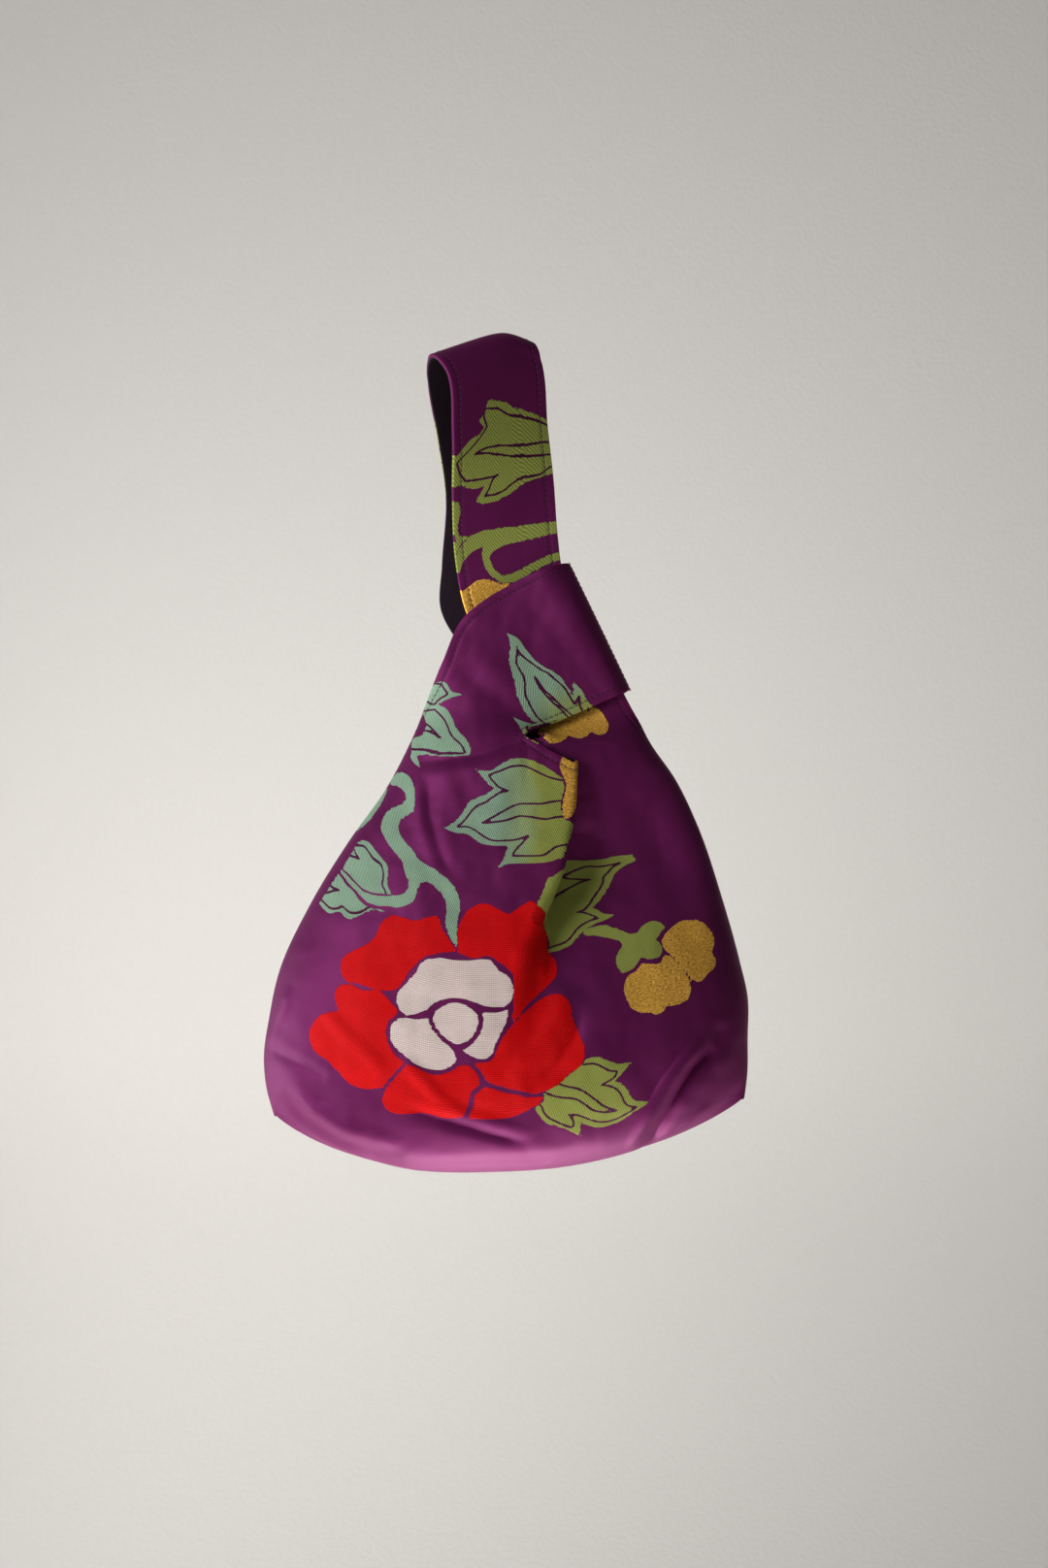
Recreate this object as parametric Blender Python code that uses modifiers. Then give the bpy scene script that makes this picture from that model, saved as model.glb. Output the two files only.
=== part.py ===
"""A knot bag of brocade sash cloth, hung by its long handle.

A front and a back panel are each cut in one piece with half of a short and half of a long handle.
The long handle is drawn through the short one, which closes the mouth in a pleat and carries the bag.
Metres, +Z up, the front faces -Y, and the origin is where a hook bears inside the long handle.
Every sheet is lofted from one surface, the inside of the bag, and is stacked outwards from it.
"""

import math
from typing import NamedTuple

import bmesh
import bpy
import numpy as np

# The cloth, from the inside of the bag outwards
LINING_THICKNESS = 0.0008
LAYER_GAP = 0.0003
OUTER_THICKNESS = 0.0012
CLOTH = LINING_THICKNESS + LAYER_GAP + OUTER_THICKNESS
PANEL_GAP = 0.0003

# The body, measured outside
BODY_WIDTH = 0.238
BODY_HEIGHT = 0.211
BODY_DEPTH = 0.104
BODY_ROUNDNESS = 2.3
SAG_ROUNDNESS = 2.7
SAG_SKEW = 0.05

# The long handle
HANDLE_DROP = 0.1424
STRAP_WIDTH = 0.051
HOOK_X = 0.0
HOOK_RADIUS = 0.006

# The knot: the short handle is a band round the strap, both turned by one angle
KNOT_LEAN = 24.0
KNOT_X = 0.0125
BAND_WIDTH = 0.070
BAND_CENTRE = -0.013
BAND_BULGE = 0.0035
KNOT_HALF_GAP = 0.006
KNOT_CLEARANCE = 0.0028
BAND_END_CLEARANCE = 0.0045
STRAP_LEAN = 22.0
STRAP_DRIFT = 0.055
SEAM_TOP_DROP = 0.0535

# The pleat that the knot gathers at the mouth
PLEAT_DEPTH = 0.026
PLEAT_EDGE_RADIUS = 0.0004
PLEAT_CREASE_RADIUS = CLOTH + 0.0006
PLEAT_LIP = 0.0234
PLEAT_TAIL = 0.012
MOUTH_FLARE = 0.28
MOUTH_TUCK = 0.5
MOUTH_EDGE = (0.003, -0.009, -0.005, 0.001, 0.003)
PLEAT_CLOSING = 1.6
OPEN_ARC = 0.008

# How finely the sheets are cut
BODY_STEPS = 3
KNOT_STEPS = 2
ARCH_STEPS = 1
LEFT_COLUMNS = 7
RIGHT_COLUMNS = 6
ARC_COLUMNS = 4

FLOOR = -HANDLE_DROP - SEAM_TOP_DROP - BODY_HEIGHT
FRONT = -1
BACK = 1


class BodySection(NamedTuple):
    """One row across the body, in shares of half its width, its height and half its depth."""

    left: float
    right: float
    left_height: float
    right_height: float
    middle_height: float
    depth: float
    pleat_x: float
    pleat: float


BODY_SECTIONS = (
    BodySection(-0.950, 0.988, 0.111, 0.150, 0.000, 0.00, 0.000, 0.00),
    BodySection(-0.980, 1.000, 0.176, 0.213, 0.009, 0.46, 0.000, 0.00),
    BodySection(-0.990, 1.000, 0.248, 0.291, 0.059, 0.80, 0.000, 0.00),
    BodySection(-0.968, 1.000, 0.337, 0.386, 0.176, 0.97, 0.000, 0.00),
    BodySection(-0.930, 0.966, 0.438, 0.472, 0.333, 1.00, 0.030, 0.05),
    BodySection(-0.803, 0.890, 0.595, 0.624, 0.519, 0.92, 0.090, 0.22),
    BodySection(-0.648, 0.800, 0.738, 0.775, 0.700, 0.76, 0.230, 0.50),
    BodySection(-0.475, 0.703, 0.876, 0.890, 0.857, 0.60, 0.275, 0.80),
    BodySection(-0.356, 0.593, 1.007, 0.980, 0.981, 0.47, 0.285, 1.00),
)


class Fold(NamedTuple):
    """One soft valley in the body, between two points in shares of half its width and of its height."""

    side: int
    start_x: float
    start_height: float
    end_x: float
    end_height: float
    depth: float
    reach: float


# The lowest ones are drawn out by the empty bag's own weight, the highest by the pull of the knot
FOLDS = (
    Fold(FRONT, -0.412, 0.255, -0.320, 0.139, 0.0022, 0.009),
    Fold(FRONT, -0.320, 0.139, 0.020, 0.056, 0.0030, 0.009),
    Fold(FRONT, -0.830, 0.150, -0.530, 0.045, 0.0026, 0.010),
    Fold(FRONT, 0.830, 0.300, 0.530, 0.080, 0.0030, 0.009),
    Fold(FRONT, 0.060, 0.980, -0.300, 0.935, 0.0018, 0.010),
    Fold(FRONT, 0.150, 0.540, 0.060, 0.300, 0.0024, 0.010),
    Fold(BACK, 0.750, 0.180, 0.300, 0.060, 0.0030, 0.010),
    Fold(BACK, -0.840, 0.280, -0.500, 0.080, 0.0028, 0.010),
    Fold(BACK, 0.100, 0.980, -0.260, 0.900, 0.0020, 0.010),
    Fold(BACK, 0.140, 0.540, 0.000, 0.260, 0.0024, 0.011),
)


class BandStation(NamedTuple):
    """One row across the short handle, in the knot's frame: shares of its length and its width.

    The upper edge runs free of the body at the armhole, and the lower edge is the bag's mouth.
    """

    upper_along: float
    upper_across: float
    lower_along: float
    depth: float


# Along: -1 is the left edge of the strap inside the band, and 1 is the band's end
BAND_STATIONS = (
    BandStation(-1.52, 0.195, -0.31, 1.10),
    BandStation(-0.99, 0.400, 0.16, 1.05),
    BandStation(-0.06, 0.490, 0.60, 1.00),
    BandStation(0.76, 0.490, 0.84, 1.00),
    BandStation(0.96, 0.475, 0.965, 0.68),
    BandStation(1.00, 0.470, 1.00, 0.00),
)


class StrapStation(NamedTuple):
    """One row across the long handle.

    The rise is a share of the way from the knot to the hook. The slope and the twist are degrees, the gap
    lies between the two strands, and the rear strand stands off sideways by back_shift.
    """

    rise: float
    x: float
    slope: float
    twist: float
    gap: float
    back_shift: float
    droop: float


STRAP_STATIONS = (
    StrapStation(0.145, 0.0006, 12.5, 4.0, 0.013, -0.0060, 0.0),
    StrapStation(0.390, -0.0024, 8.0, 14.0, 0.012, 0.0, 0.0),
    StrapStation(0.640, -0.0059, 6.0, 26.0, 0.015, 0.0, 0.3),
)
DROOP_SLOPE = 0.42

# The arch that the long handle makes over the hook, its row at each angle from the level, and its lean
ARCH_RADIUS = 0.0095
ARCH_ANGLES = (0.0, 30.0, 60.0, 80.0, 90.0)
ARCH_SLOPE = 3.0
ARCH_FOOT_TWIST = 26.0
ARCH_TOP_TWIST = 18.0
ARCH_FOOT_X = -0.0097
ARCH_TOP_X = -0.0115

# How far the two strands have come apart where the strap enters, fills and leaves the knot: along, back_shift
KNOT_STRAP_ROWS = ((-0.71, -0.0010), (-0.34, -0.0040), (0.0, -0.0100), (0.29, -0.0120))


def knot_frame():
    """The directions across and along the strap in the knot, and the knot's centre, as (x, z)."""
    lean = math.radians(KNOT_LEAN)
    across = np.array([math.cos(lean), math.sin(lean)])
    along = np.array([-math.sin(lean), math.cos(lean)])
    return across, along, np.array([KNOT_X, -HANDLE_DROP])


def knot_point(across, along):
    """(x, z) of a point given in the knot's frame."""
    across_axis, along_axis, centre = knot_frame()
    return centre + across * across_axis + along * along_axis


def pleat_columns(amount):
    """Offsets in x, y and z of the mouth's columns from the pleat's outer edge, folded by amount, 0 to 1.

    Left to right along the cloth: the lip, the outer edge as an arc, the layer beneath, the inner crease
    as an arc, and the cloth that comes out under the lip.
    """
    turn = max(math.pi * (1 - (1 - amount) ** PLEAT_CLOSING), 1e-3)
    edge = OPEN_ARC + amount * (math.pi * PLEAT_EDGE_RADIUS - OPEN_ARC)
    crease = OPEN_ARC + amount * (math.pi * PLEAT_CREASE_RADIUS - OPEN_ARC)
    layer = OPEN_ARC / 2 + amount * (PLEAT_DEPTH - OPEN_ARC / 2)
    middles = (np.arange(ARC_COLUMNS) + 0.5) / ARC_COLUMNS
    headings = np.concatenate([turn * middles, [turn, turn], turn * (1 - middles), [0.0]])
    lengths = [edge / ARC_COLUMNS] * ARC_COLUMNS + [layer / 2] * 2 + [crease / ARC_COLUMNS] * ARC_COLUMNS
    lengths = np.array([*lengths, PLEAT_TAIL])
    x = np.concatenate([[0.0], np.cumsum(lengths * np.cos(headings))])
    y = np.concatenate([[0.0], np.cumsum(lengths * np.sin(headings))])
    x = np.concatenate([[-PLEAT_LIP, -PLEAT_LIP / 2], x - x[: ARC_COLUMNS + 1].max()])
    y = np.concatenate([[0.0, 0.0], y])
    corners = [0, 2, ARC_COLUMNS + 4, len(x) - 2, len(x) - 1]
    dips = np.interp(np.arange(len(x)), corners, MOUTH_EDGE)
    return x, y, dips * amount**3


def fold_body(rows, side):
    """Sinks the soft folds into rows of the body, and keeps the rows on their own side of the seams."""
    half_width = BODY_WIDTH / 2
    x, height = rows[:, :, 0], rows[:, :, 2] - FLOOR
    sunk = np.zeros(x.shape)
    for fold in FOLDS:
        start = np.array([fold.start_x * half_width, fold.start_height * BODY_HEIGHT])
        run = np.array([fold.end_x * half_width, fold.end_height * BODY_HEIGHT]) - start
        along = np.clip(((x - start[0]) * run[0] + (height - start[1]) * run[1]) / (run @ run), 0, 1)
        away = np.hypot(x - start[0] - along * run[0], height - start[1] - along * run[1])
        if fold.side == side:
            sunk += fold.depth * np.exp(-((away / fold.reach) ** 2))
    depth = side * rows[:, :, 1]
    rows[:, :, 1] = side * np.maximum(depth - np.minimum(sunk, depth / 2), PANEL_GAP / 2)


def body_row(section, side):
    """Points across one panel from its left to its right side seam, and the pleat's share of them."""
    half_width = BODY_WIDTH / 2 - CLOTH
    left, right = section.left * half_width, section.right * half_width
    left_z, right_z, middle_z = (
        FLOOR + CLOTH + share * (BODY_HEIGHT - CLOTH)
        for share in (section.left_height, section.right_height, section.middle_height)
    )
    centre, span = (left + right) / 2, (right - left) / 2
    fold_x, fold_y, fold_z = pleat_columns(section.pleat)
    fold_x = fold_x + section.pleat_x * half_width
    first, last = (math.asin((x - centre) / span) for x in (fold_x[0], fold_x[-1]))
    left_turns = np.linspace(-math.pi / 2, first, LEFT_COLUMNS + 1)[:-1]
    right_turns = np.linspace(last, math.pi / 2, RIGHT_COLUMNS + 1)[1:]
    x = np.concatenate([centre + span * np.sin(left_turns), fold_x, centre + span * np.sin(right_turns)])
    share = np.clip((x - centre) / span, -1, 1)
    curve = (1 - np.abs(share) ** BODY_ROUNDNESS) ** (1 / BODY_ROUNDNESS)
    depth = section.depth * (BODY_DEPTH / 2 - CLOTH) * curve
    sunk = np.zeros(len(x))
    tucked = np.where(fold_z > 0, MOUTH_TUCK, MOUTH_FLARE) * fold_z
    sunk[LEFT_COLUMNS : LEFT_COLUMNS + len(fold_y)] = fold_y + tucked
    sunk[LEFT_COLUMNS + len(fold_y) :] = fold_y[-1] * np.cos(right_turns) / math.cos(last)
    sag = (left_z + right_z) / 2 - middle_z
    skewed = share + SAG_SKEW * (1 - share**2)
    z = left_z + (right_z - left_z) * (share + 1) / 2 - sag * (1 - np.abs(skewed) ** SAG_ROUNDNESS)
    z[LEFT_COLUMNS : LEFT_COLUMNS + len(fold_z)] += fold_z
    y = side * (PANEL_GAP / 2 + np.maximum(depth - sunk, 0))
    return np.stack([x, y, z], axis=1)


def mouth_columns():
    """How many columns the pleat at the mouth takes up."""
    return len(pleat_columns(0.0)[0])


def band_row(station, shares, side):
    """Points across the short handle, from its armhole edge to its mouth edge."""
    half_length = STRAP_WIDTH / 2 + BAND_END_CLEARANCE
    upper = knot_point(
        station.upper_along * half_length, BAND_CENTRE + station.upper_across * BAND_WIDTH
    )
    lower = knot_point(station.lower_along * half_length, BAND_CENTRE - BAND_WIDTH / 2)
    flat = upper + shares[:, None] * (lower - upper)
    depth = station.depth * (KNOT_HALF_GAP + CLOTH + KNOT_CLEARANCE)
    bulge = station.depth * BAND_BULGE * np.sin(np.pi * shares)
    y = side * (PANEL_GAP / 2 + depth + bulge)
    return np.stack([flat[:, 0], y, flat[:, 1]], axis=1)


def strap_row(centre, slope, twist, offset, shares):
    """Points across one strand of the long handle, from its left to its right edge.

    The centre and the offset towards the strand are (x, y, z), and slope and twist are degrees.
    """
    slope, twist = math.radians(slope), math.radians(twist)
    across = np.array(
        [math.cos(twist) * math.cos(slope), math.sin(twist) * math.cos(slope), math.sin(slope)]
    )
    return centre + offset + np.outer((shares - 0.5) * STRAP_WIDTH, across)


def knot_strap_rows(shares, side):
    """The rows of one strand inside the knot."""
    rows = []
    for along, back_shift in KNOT_STRAP_ROWS:
        x, z = knot_point(-STRAP_DRIFT * min(along, 0) * BAND_WIDTH, along * BAND_WIDTH)
        shift = back_shift if side == BACK else 0.0
        offset = np.array([shift, side * KNOT_HALF_GAP, 0.0])
        rows.append(strap_row(np.array([x, 0.0, z]), STRAP_LEAN, 0.0, offset, shares))
    return rows


def drooped(row, amount):
    """The row with both its ends hanging down from the hook."""
    row[:, 2] -= amount * DROOP_SLOPE * (np.hypot(row[:, 0] - HOOK_X, HOOK_RADIUS) - HOOK_RADIUS)
    return row


def upper_strap_rows(shares, side):
    """The rows of one strand from the knot up to the seam over the hook."""
    rows = []
    knot_top = knot_point(0.0, KNOT_STRAP_ROWS[-1][0] * BAND_WIDTH)[1]
    for station in STRAP_STATIONS:
        twist = math.radians(station.twist)
        offset = side * station.gap / 2 * np.array([-math.sin(twist), math.cos(twist), 0.0])
        offset[0] += station.back_shift if side == BACK else 0.0
        centre = np.array([station.x, 0.0, knot_top * (1 - station.rise)])
        rows.append(drooped(strap_row(centre, station.slope, station.twist, offset, shares), station.droop))
    for angle in np.radians(ARCH_ANGLES):
        out = max(ARCH_RADIUS * math.cos(angle), PANEL_GAP / 2)
        rise = math.sin(angle)
        twist = ARCH_FOOT_TWIST + rise * (ARCH_TOP_TWIST - ARCH_FOOT_TWIST)
        offset = side * out * np.array([-math.sin(math.radians(twist)), 1.0, 0.0])
        x = ARCH_FOOT_X + rise * (ARCH_TOP_X - ARCH_FOOT_X)
        centre = np.array([x, 0.0, ARCH_RADIUS * (rise - 1)])
        rows.append(drooped(strap_row(centre, ARCH_SLOPE * (1 - rise), twist, offset, shares), 1.0))
    return rows


def loft(keys, steps):
    """Rows of a smooth surface through the key rows, with as many rows from each key on as steps says."""
    keys = np.array(keys)
    spans = np.linalg.norm(np.diff(keys, axis=0), axis=2)[:, :, None]
    slopes = np.diff(keys, axis=0) / spans
    inner = (spans[:-1] * slopes[1:] + spans[1:] * slopes[:-1]) / (spans[:-1] + spans[1:])
    tangents = np.concatenate([slopes[:1], inner, slopes[-1:]])
    rows = []
    for i in range(len(keys) - 1):
        for t in np.arange(steps[i]) / steps[i]:
            rows.append(
                (2 * t**3 - 3 * t**2 + 1) * keys[i]
                + (t**3 - 2 * t**2 + t) * spans[i] * tangents[i]
                + (3 * t**2 - 2 * t**3) * keys[i + 1]
                + (t**3 - t**2) * spans[i] * tangents[i + 1]
            )
    return np.array([*rows, keys[-1]])


def shares_across(row):
    """How far along a row each of its points lies, from 0 to 1."""
    lengths = np.linalg.norm(np.diff(row, axis=0), axis=1)
    return np.concatenate([[0], np.cumsum(lengths)]) / lengths.sum()


def panel_grids(side):
    """The panel's three lofts: the short handle's columns, the pleat's and the long handle's.

    Each runs from the bottom seam upwards. Neighbours share their border column as far as the mouth.
    """
    body = [body_row(section, side) for section in BODY_SECTIONS]
    left_end = LEFT_COLUMNS + 1
    right_start = LEFT_COLUMNS + mouth_columns() - 1
    left_shares = shares_across(body[-1][:left_end])
    right_shares = shares_across(body[-1][right_start:])
    band = [band_row(station, left_shares, side) for station in BAND_STATIONS]
    strap = knot_strap_rows(right_shares, side) + upper_strap_rows(right_shares, side)
    body_steps = [BODY_STEPS] * (len(body) - 1)
    strap_steps = [KNOT_STEPS] * (len(strap) - len(ARCH_ANGLES)) + [ARCH_STEPS] * len(ARCH_ANGLES)
    left = loft([row[:left_end] for row in body] + band, body_steps + [KNOT_STEPS] * len(band))
    pleat = loft([row[left_end - 1 : right_start + 1] for row in body], body_steps)
    right = loft([row[right_start:] for row in body] + strap, body_steps + strap_steps)
    pleat[:, 0] = left[: len(pleat), -1]
    pleat[:, -1] = right[: len(pleat), 0]
    for rows in (left, pleat, right):
        fold_body(rows[: len(pleat)], side)
    left[:, :, 1] = side * np.maximum(side * left[:, :, 1], PANEL_GAP / 2)
    return left, pleat, right


def add_grid(mesh, rows, side, shared):
    """Adds one loft's faces to a bmesh, looking outwards, with a vertex made once at each shared point."""
    points = []
    for row in rows:
        line = []
        for point in row:
            key = tuple(np.round(point, 7))
            if key not in shared:
                shared[key] = mesh.verts.new(point)
            line.append(shared[key])
        points.append(line)
    for lower, upper in zip(points, points[1:]):
        for i in range(len(lower) - 1):
            corners = [lower[i], lower[i + 1], upper[i + 1], upper[i]]
            mesh.faces.new(corners if side == FRONT else corners[::-1])


def cloth_material(name, colour, roughness):
    """A plain Principled material for one kind of cloth."""
    material = bpy.data.materials.new(name)
    material.use_nodes = True
    shader = material.node_tree.nodes["Principled BSDF"]
    shader.inputs["Base Color"].default_value = (*colour, 1.0)
    shader.inputs["Roughness"].default_value = roughness
    shader.inputs["Metallic"].default_value = 0.0
    return material


def sheet(name, side, inset, thickness, material, collection):
    """One cut sheet of cloth: the panel's surface moved out by inset and given its thickness."""
    mesh = bmesh.new()
    shared = {}
    for rows in panel_grids(side):
        add_grid(mesh, rows, side, shared)
    data = bpy.data.meshes.new(name)
    mesh.to_mesh(data)
    mesh.free()
    data.materials.append(material)
    data.shade_smooth()
    panel = bpy.data.objects.new(name, data)
    collection.objects.link(panel)
    if inset > 0:
        stacked = panel.modifiers.new("Stacked", "DISPLACE")
        stacked.mid_level = 0.0
        stacked.strength = inset
    wall = panel.modifiers.new("Thickness", "SOLIDIFY")
    wall.thickness = thickness
    wall.offset = 1.0
    return panel


def main():
    """Clears the scene and makes the four sheets of the bag."""
    for leftover in list(bpy.data.objects):
        bpy.data.objects.remove(leftover)
    collection = bpy.data.collections.new("knot_bag")
    bpy.context.scene.collection.children.link(collection)
    brocade = cloth_material("Purple brocade", (0.13, 0.018, 0.11), 0.45)
    lining = cloth_material("Dark lining", (0.012, 0.004, 0.010), 0.7)
    outer_inset = LINING_THICKNESS + LAYER_GAP
    sheet("outer_front_panel", FRONT, outer_inset, OUTER_THICKNESS, brocade, collection)
    sheet("outer_back_panel", BACK, outer_inset, OUTER_THICKNESS, brocade, collection)
    sheet("lining_front_panel", FRONT, 0.0, LINING_THICKNESS, lining, collection)
    sheet("lining_back_panel", BACK, 0.0, LINING_THICKNESS, lining, collection)


main()
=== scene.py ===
"""The looks of a knot bag of brocade sash cloth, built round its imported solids.

Metres, +Z up, the front faces -Y, and the origin is where a hook bears inside the long handle.
Every sheet follows the surface that the solids were lofted from, cut far finer, with turned edges.
"""

import logging
import math
from collections.abc import Callable, Iterable
from dataclasses import dataclass, field
from enum import Enum
from typing import Any, NamedTuple

import bpy
import numpy as np
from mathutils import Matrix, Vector


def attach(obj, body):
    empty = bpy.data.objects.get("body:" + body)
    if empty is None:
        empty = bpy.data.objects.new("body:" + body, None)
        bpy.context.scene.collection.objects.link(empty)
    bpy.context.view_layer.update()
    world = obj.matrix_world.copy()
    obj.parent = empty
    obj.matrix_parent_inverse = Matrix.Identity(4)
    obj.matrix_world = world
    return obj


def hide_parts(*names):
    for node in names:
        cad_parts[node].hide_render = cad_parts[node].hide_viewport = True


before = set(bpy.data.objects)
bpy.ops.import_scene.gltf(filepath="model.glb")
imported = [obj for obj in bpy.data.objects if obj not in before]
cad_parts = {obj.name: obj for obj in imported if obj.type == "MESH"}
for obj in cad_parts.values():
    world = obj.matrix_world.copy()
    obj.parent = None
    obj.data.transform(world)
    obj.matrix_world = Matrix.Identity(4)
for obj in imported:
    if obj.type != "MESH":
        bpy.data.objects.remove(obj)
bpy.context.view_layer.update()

logging.basicConfig(level=logging.INFO, format="%(message)s")
LOG = logging.getLogger("knot_bag")

Array = np.ndarray


class Side(Enum):
    """Which panel of the bag: its sign is the way its outside faces along Y."""

    FRONT = -1
    BACK = 1


class Weft(Enum):
    """The coloured wefts that the pattern is woven with. Each value is the name of a mesh attribute."""

    LEAF = "leaf"
    STEM = "stem"
    BLADE = "blade"
    VEIN = "vein"
    RED = "red"
    IVORY = "ivory"
    GOLD = "gold"


# --------------------------------------------------------------------------------------
# The shape of the sheets
# --------------------------------------------------------------------------------------


@dataclass(frozen=True)
class Layers:
    """The thicknesses of the cloth, from the inside of the bag outwards."""

    lining: float = 0.0008
    gap: float = 0.0003
    outer: float = 0.0012
    seam: float = 0.0003

    @property
    def total(self) -> float:
        """The whole stack's thickness."""
        return self.lining + self.gap + self.outer


class BodySection(NamedTuple):
    """One row across the body, in shares of half its width, its height and half its depth."""

    left: float
    right: float
    left_height: float
    right_height: float
    middle_height: float
    depth: float
    pleat_x: float
    pleat: float


class Crease(NamedTuple):
    """A soft valley along a line of the front view, in metres deep, with a ridge on its left side.

    A negative depth makes the line itself the ridge.
    """

    line: tuple[tuple[float, float], ...]
    depth: float
    reach: float
    ridge: float = 0.0


@dataclass(frozen=True)
class FrontView:
    """The plain front view that folds and pattern are laid out in: its unit, its zero and its eye."""

    unit: float = 0.000476
    zero: tuple[float, float] = (520.0, 347.0)
    eye: tuple[float, float, float] = (0.0095, -1.068, -0.2194)

    def seen(self, points: Array) -> Array:
        """Where points show in the view. Those behind the seams are laid out as seen through the bag.

        Args:
            points: the points.

        Returns:
            Their places across and down the view.
        """
        x, y, z = self.eye
        grow = abs(y) / (abs(y) - np.abs(points[..., 1]))
        across = x + (points[..., 0] - x) * grow
        up = z + (points[..., 2] - z) * grow
        return np.stack([self.zero[0] + across / self.unit, self.zero[1] - up / self.unit], axis=-1)


@dataclass(frozen=True)
class Mesh:
    """A grid-made surface with what the cloth's finish reads at each of its points."""

    points: Array
    faces: Array
    cloth: Array
    edge: Array


@dataclass
class PleatFold:
    """The pleat that the knot gathers at the mouth, and how finely it is cut."""

    depth: float = 0.026
    edge_radius: float = 0.0004
    crease_slack: float = 0.0006
    lip: float = 0.0234
    tail: float = 0.012
    flare: float = 0.28
    tuck: float = 0.5
    rim: tuple[float, ...] = (0.003, -0.009, -0.005, 0.001, 0.003)
    back_rim: tuple[float, ...] = (0.009, -0.001, -0.002, 0.001, 0.003)
    closing: float = 1.6
    open_arc: float = 0.008
    marks: tuple[float, ...] = (0, 2, 6, 8, 12, 13)
    lip_cuts: int = 20
    edge_cuts: int = 8
    layer_cuts: int = 12
    crease_cuts: int = 8
    tail_cuts: int = 9

    def columns(self, amount: float, cloth: float, side: Side) -> tuple[Array, Array, Array]:
        """Offsets of the mouth's columns from the pleat's outer edge.

        Args:
            amount: how far the pleat is folded, 0 to 1.
            cloth: the thickness of the whole stack.
            side: which panel is folded.

        Returns:
            The offsets in x, y and z.
        """
        turn = max(math.pi * (1 - (1 - amount) ** self.closing), 1e-3)
        edge = self.open_arc + amount * (math.pi * self.edge_radius - self.open_arc)
        crease_radius = cloth + self.crease_slack
        crease = self.open_arc + amount * (math.pi * crease_radius - self.open_arc)
        layer = self.open_arc / 2 + amount * (self.depth - self.open_arc / 2)
        edge_turns = turn * (np.arange(self.edge_cuts) + 0.5) / self.edge_cuts
        crease_turns = turn * (1 - (np.arange(self.crease_cuts) + 0.5) / self.crease_cuts)
        headings = np.concatenate(
            [edge_turns, np.full(self.layer_cuts, turn), crease_turns, np.zeros(self.tail_cuts)]
        )
        lengths = np.concatenate(
            [
                np.full(self.edge_cuts, edge / self.edge_cuts),
                np.full(self.layer_cuts, layer / self.layer_cuts),
                np.full(self.crease_cuts, crease / self.crease_cuts),
                np.full(self.tail_cuts, self.tail / self.tail_cuts),
            ]
        )
        x = np.concatenate([[0.0], np.cumsum(lengths * np.cos(headings))])
        y = np.concatenate([[0.0], np.cumsum(lengths * np.sin(headings))])
        x -= x[: self.edge_cuts + 1].max()
        x = np.concatenate([np.linspace(-self.lip, x[0], self.lip_cuts + 1)[:-1], x])
        y = np.concatenate([np.zeros(self.lip_cuts), y])
        spans = zip(self.marks, self.marks[1:], self.cuts)
        stations = [np.linspace(start, end, cuts + 1)[:-1] for start, end, cuts in spans]
        stations.append(np.array(self.marks[-1:]))
        rim = self.rim if side is Side.FRONT else self.back_rim
        dips = np.interp(np.concatenate(stations), self.marks[:2] + self.marks[3:], rim)
        return x, y, dips * amount**3

    @property
    def cuts(self) -> tuple[int, ...]:
        """How many steps the lip, the edge, the layer beneath, the crease and the tail are cut in."""
        return self.lip_cuts, self.edge_cuts, self.layer_cuts, self.crease_cuts, self.tail_cuts

    @property
    def count(self) -> int:
        """How many columns the pleat takes up."""
        return sum(self.cuts) + 1


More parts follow.
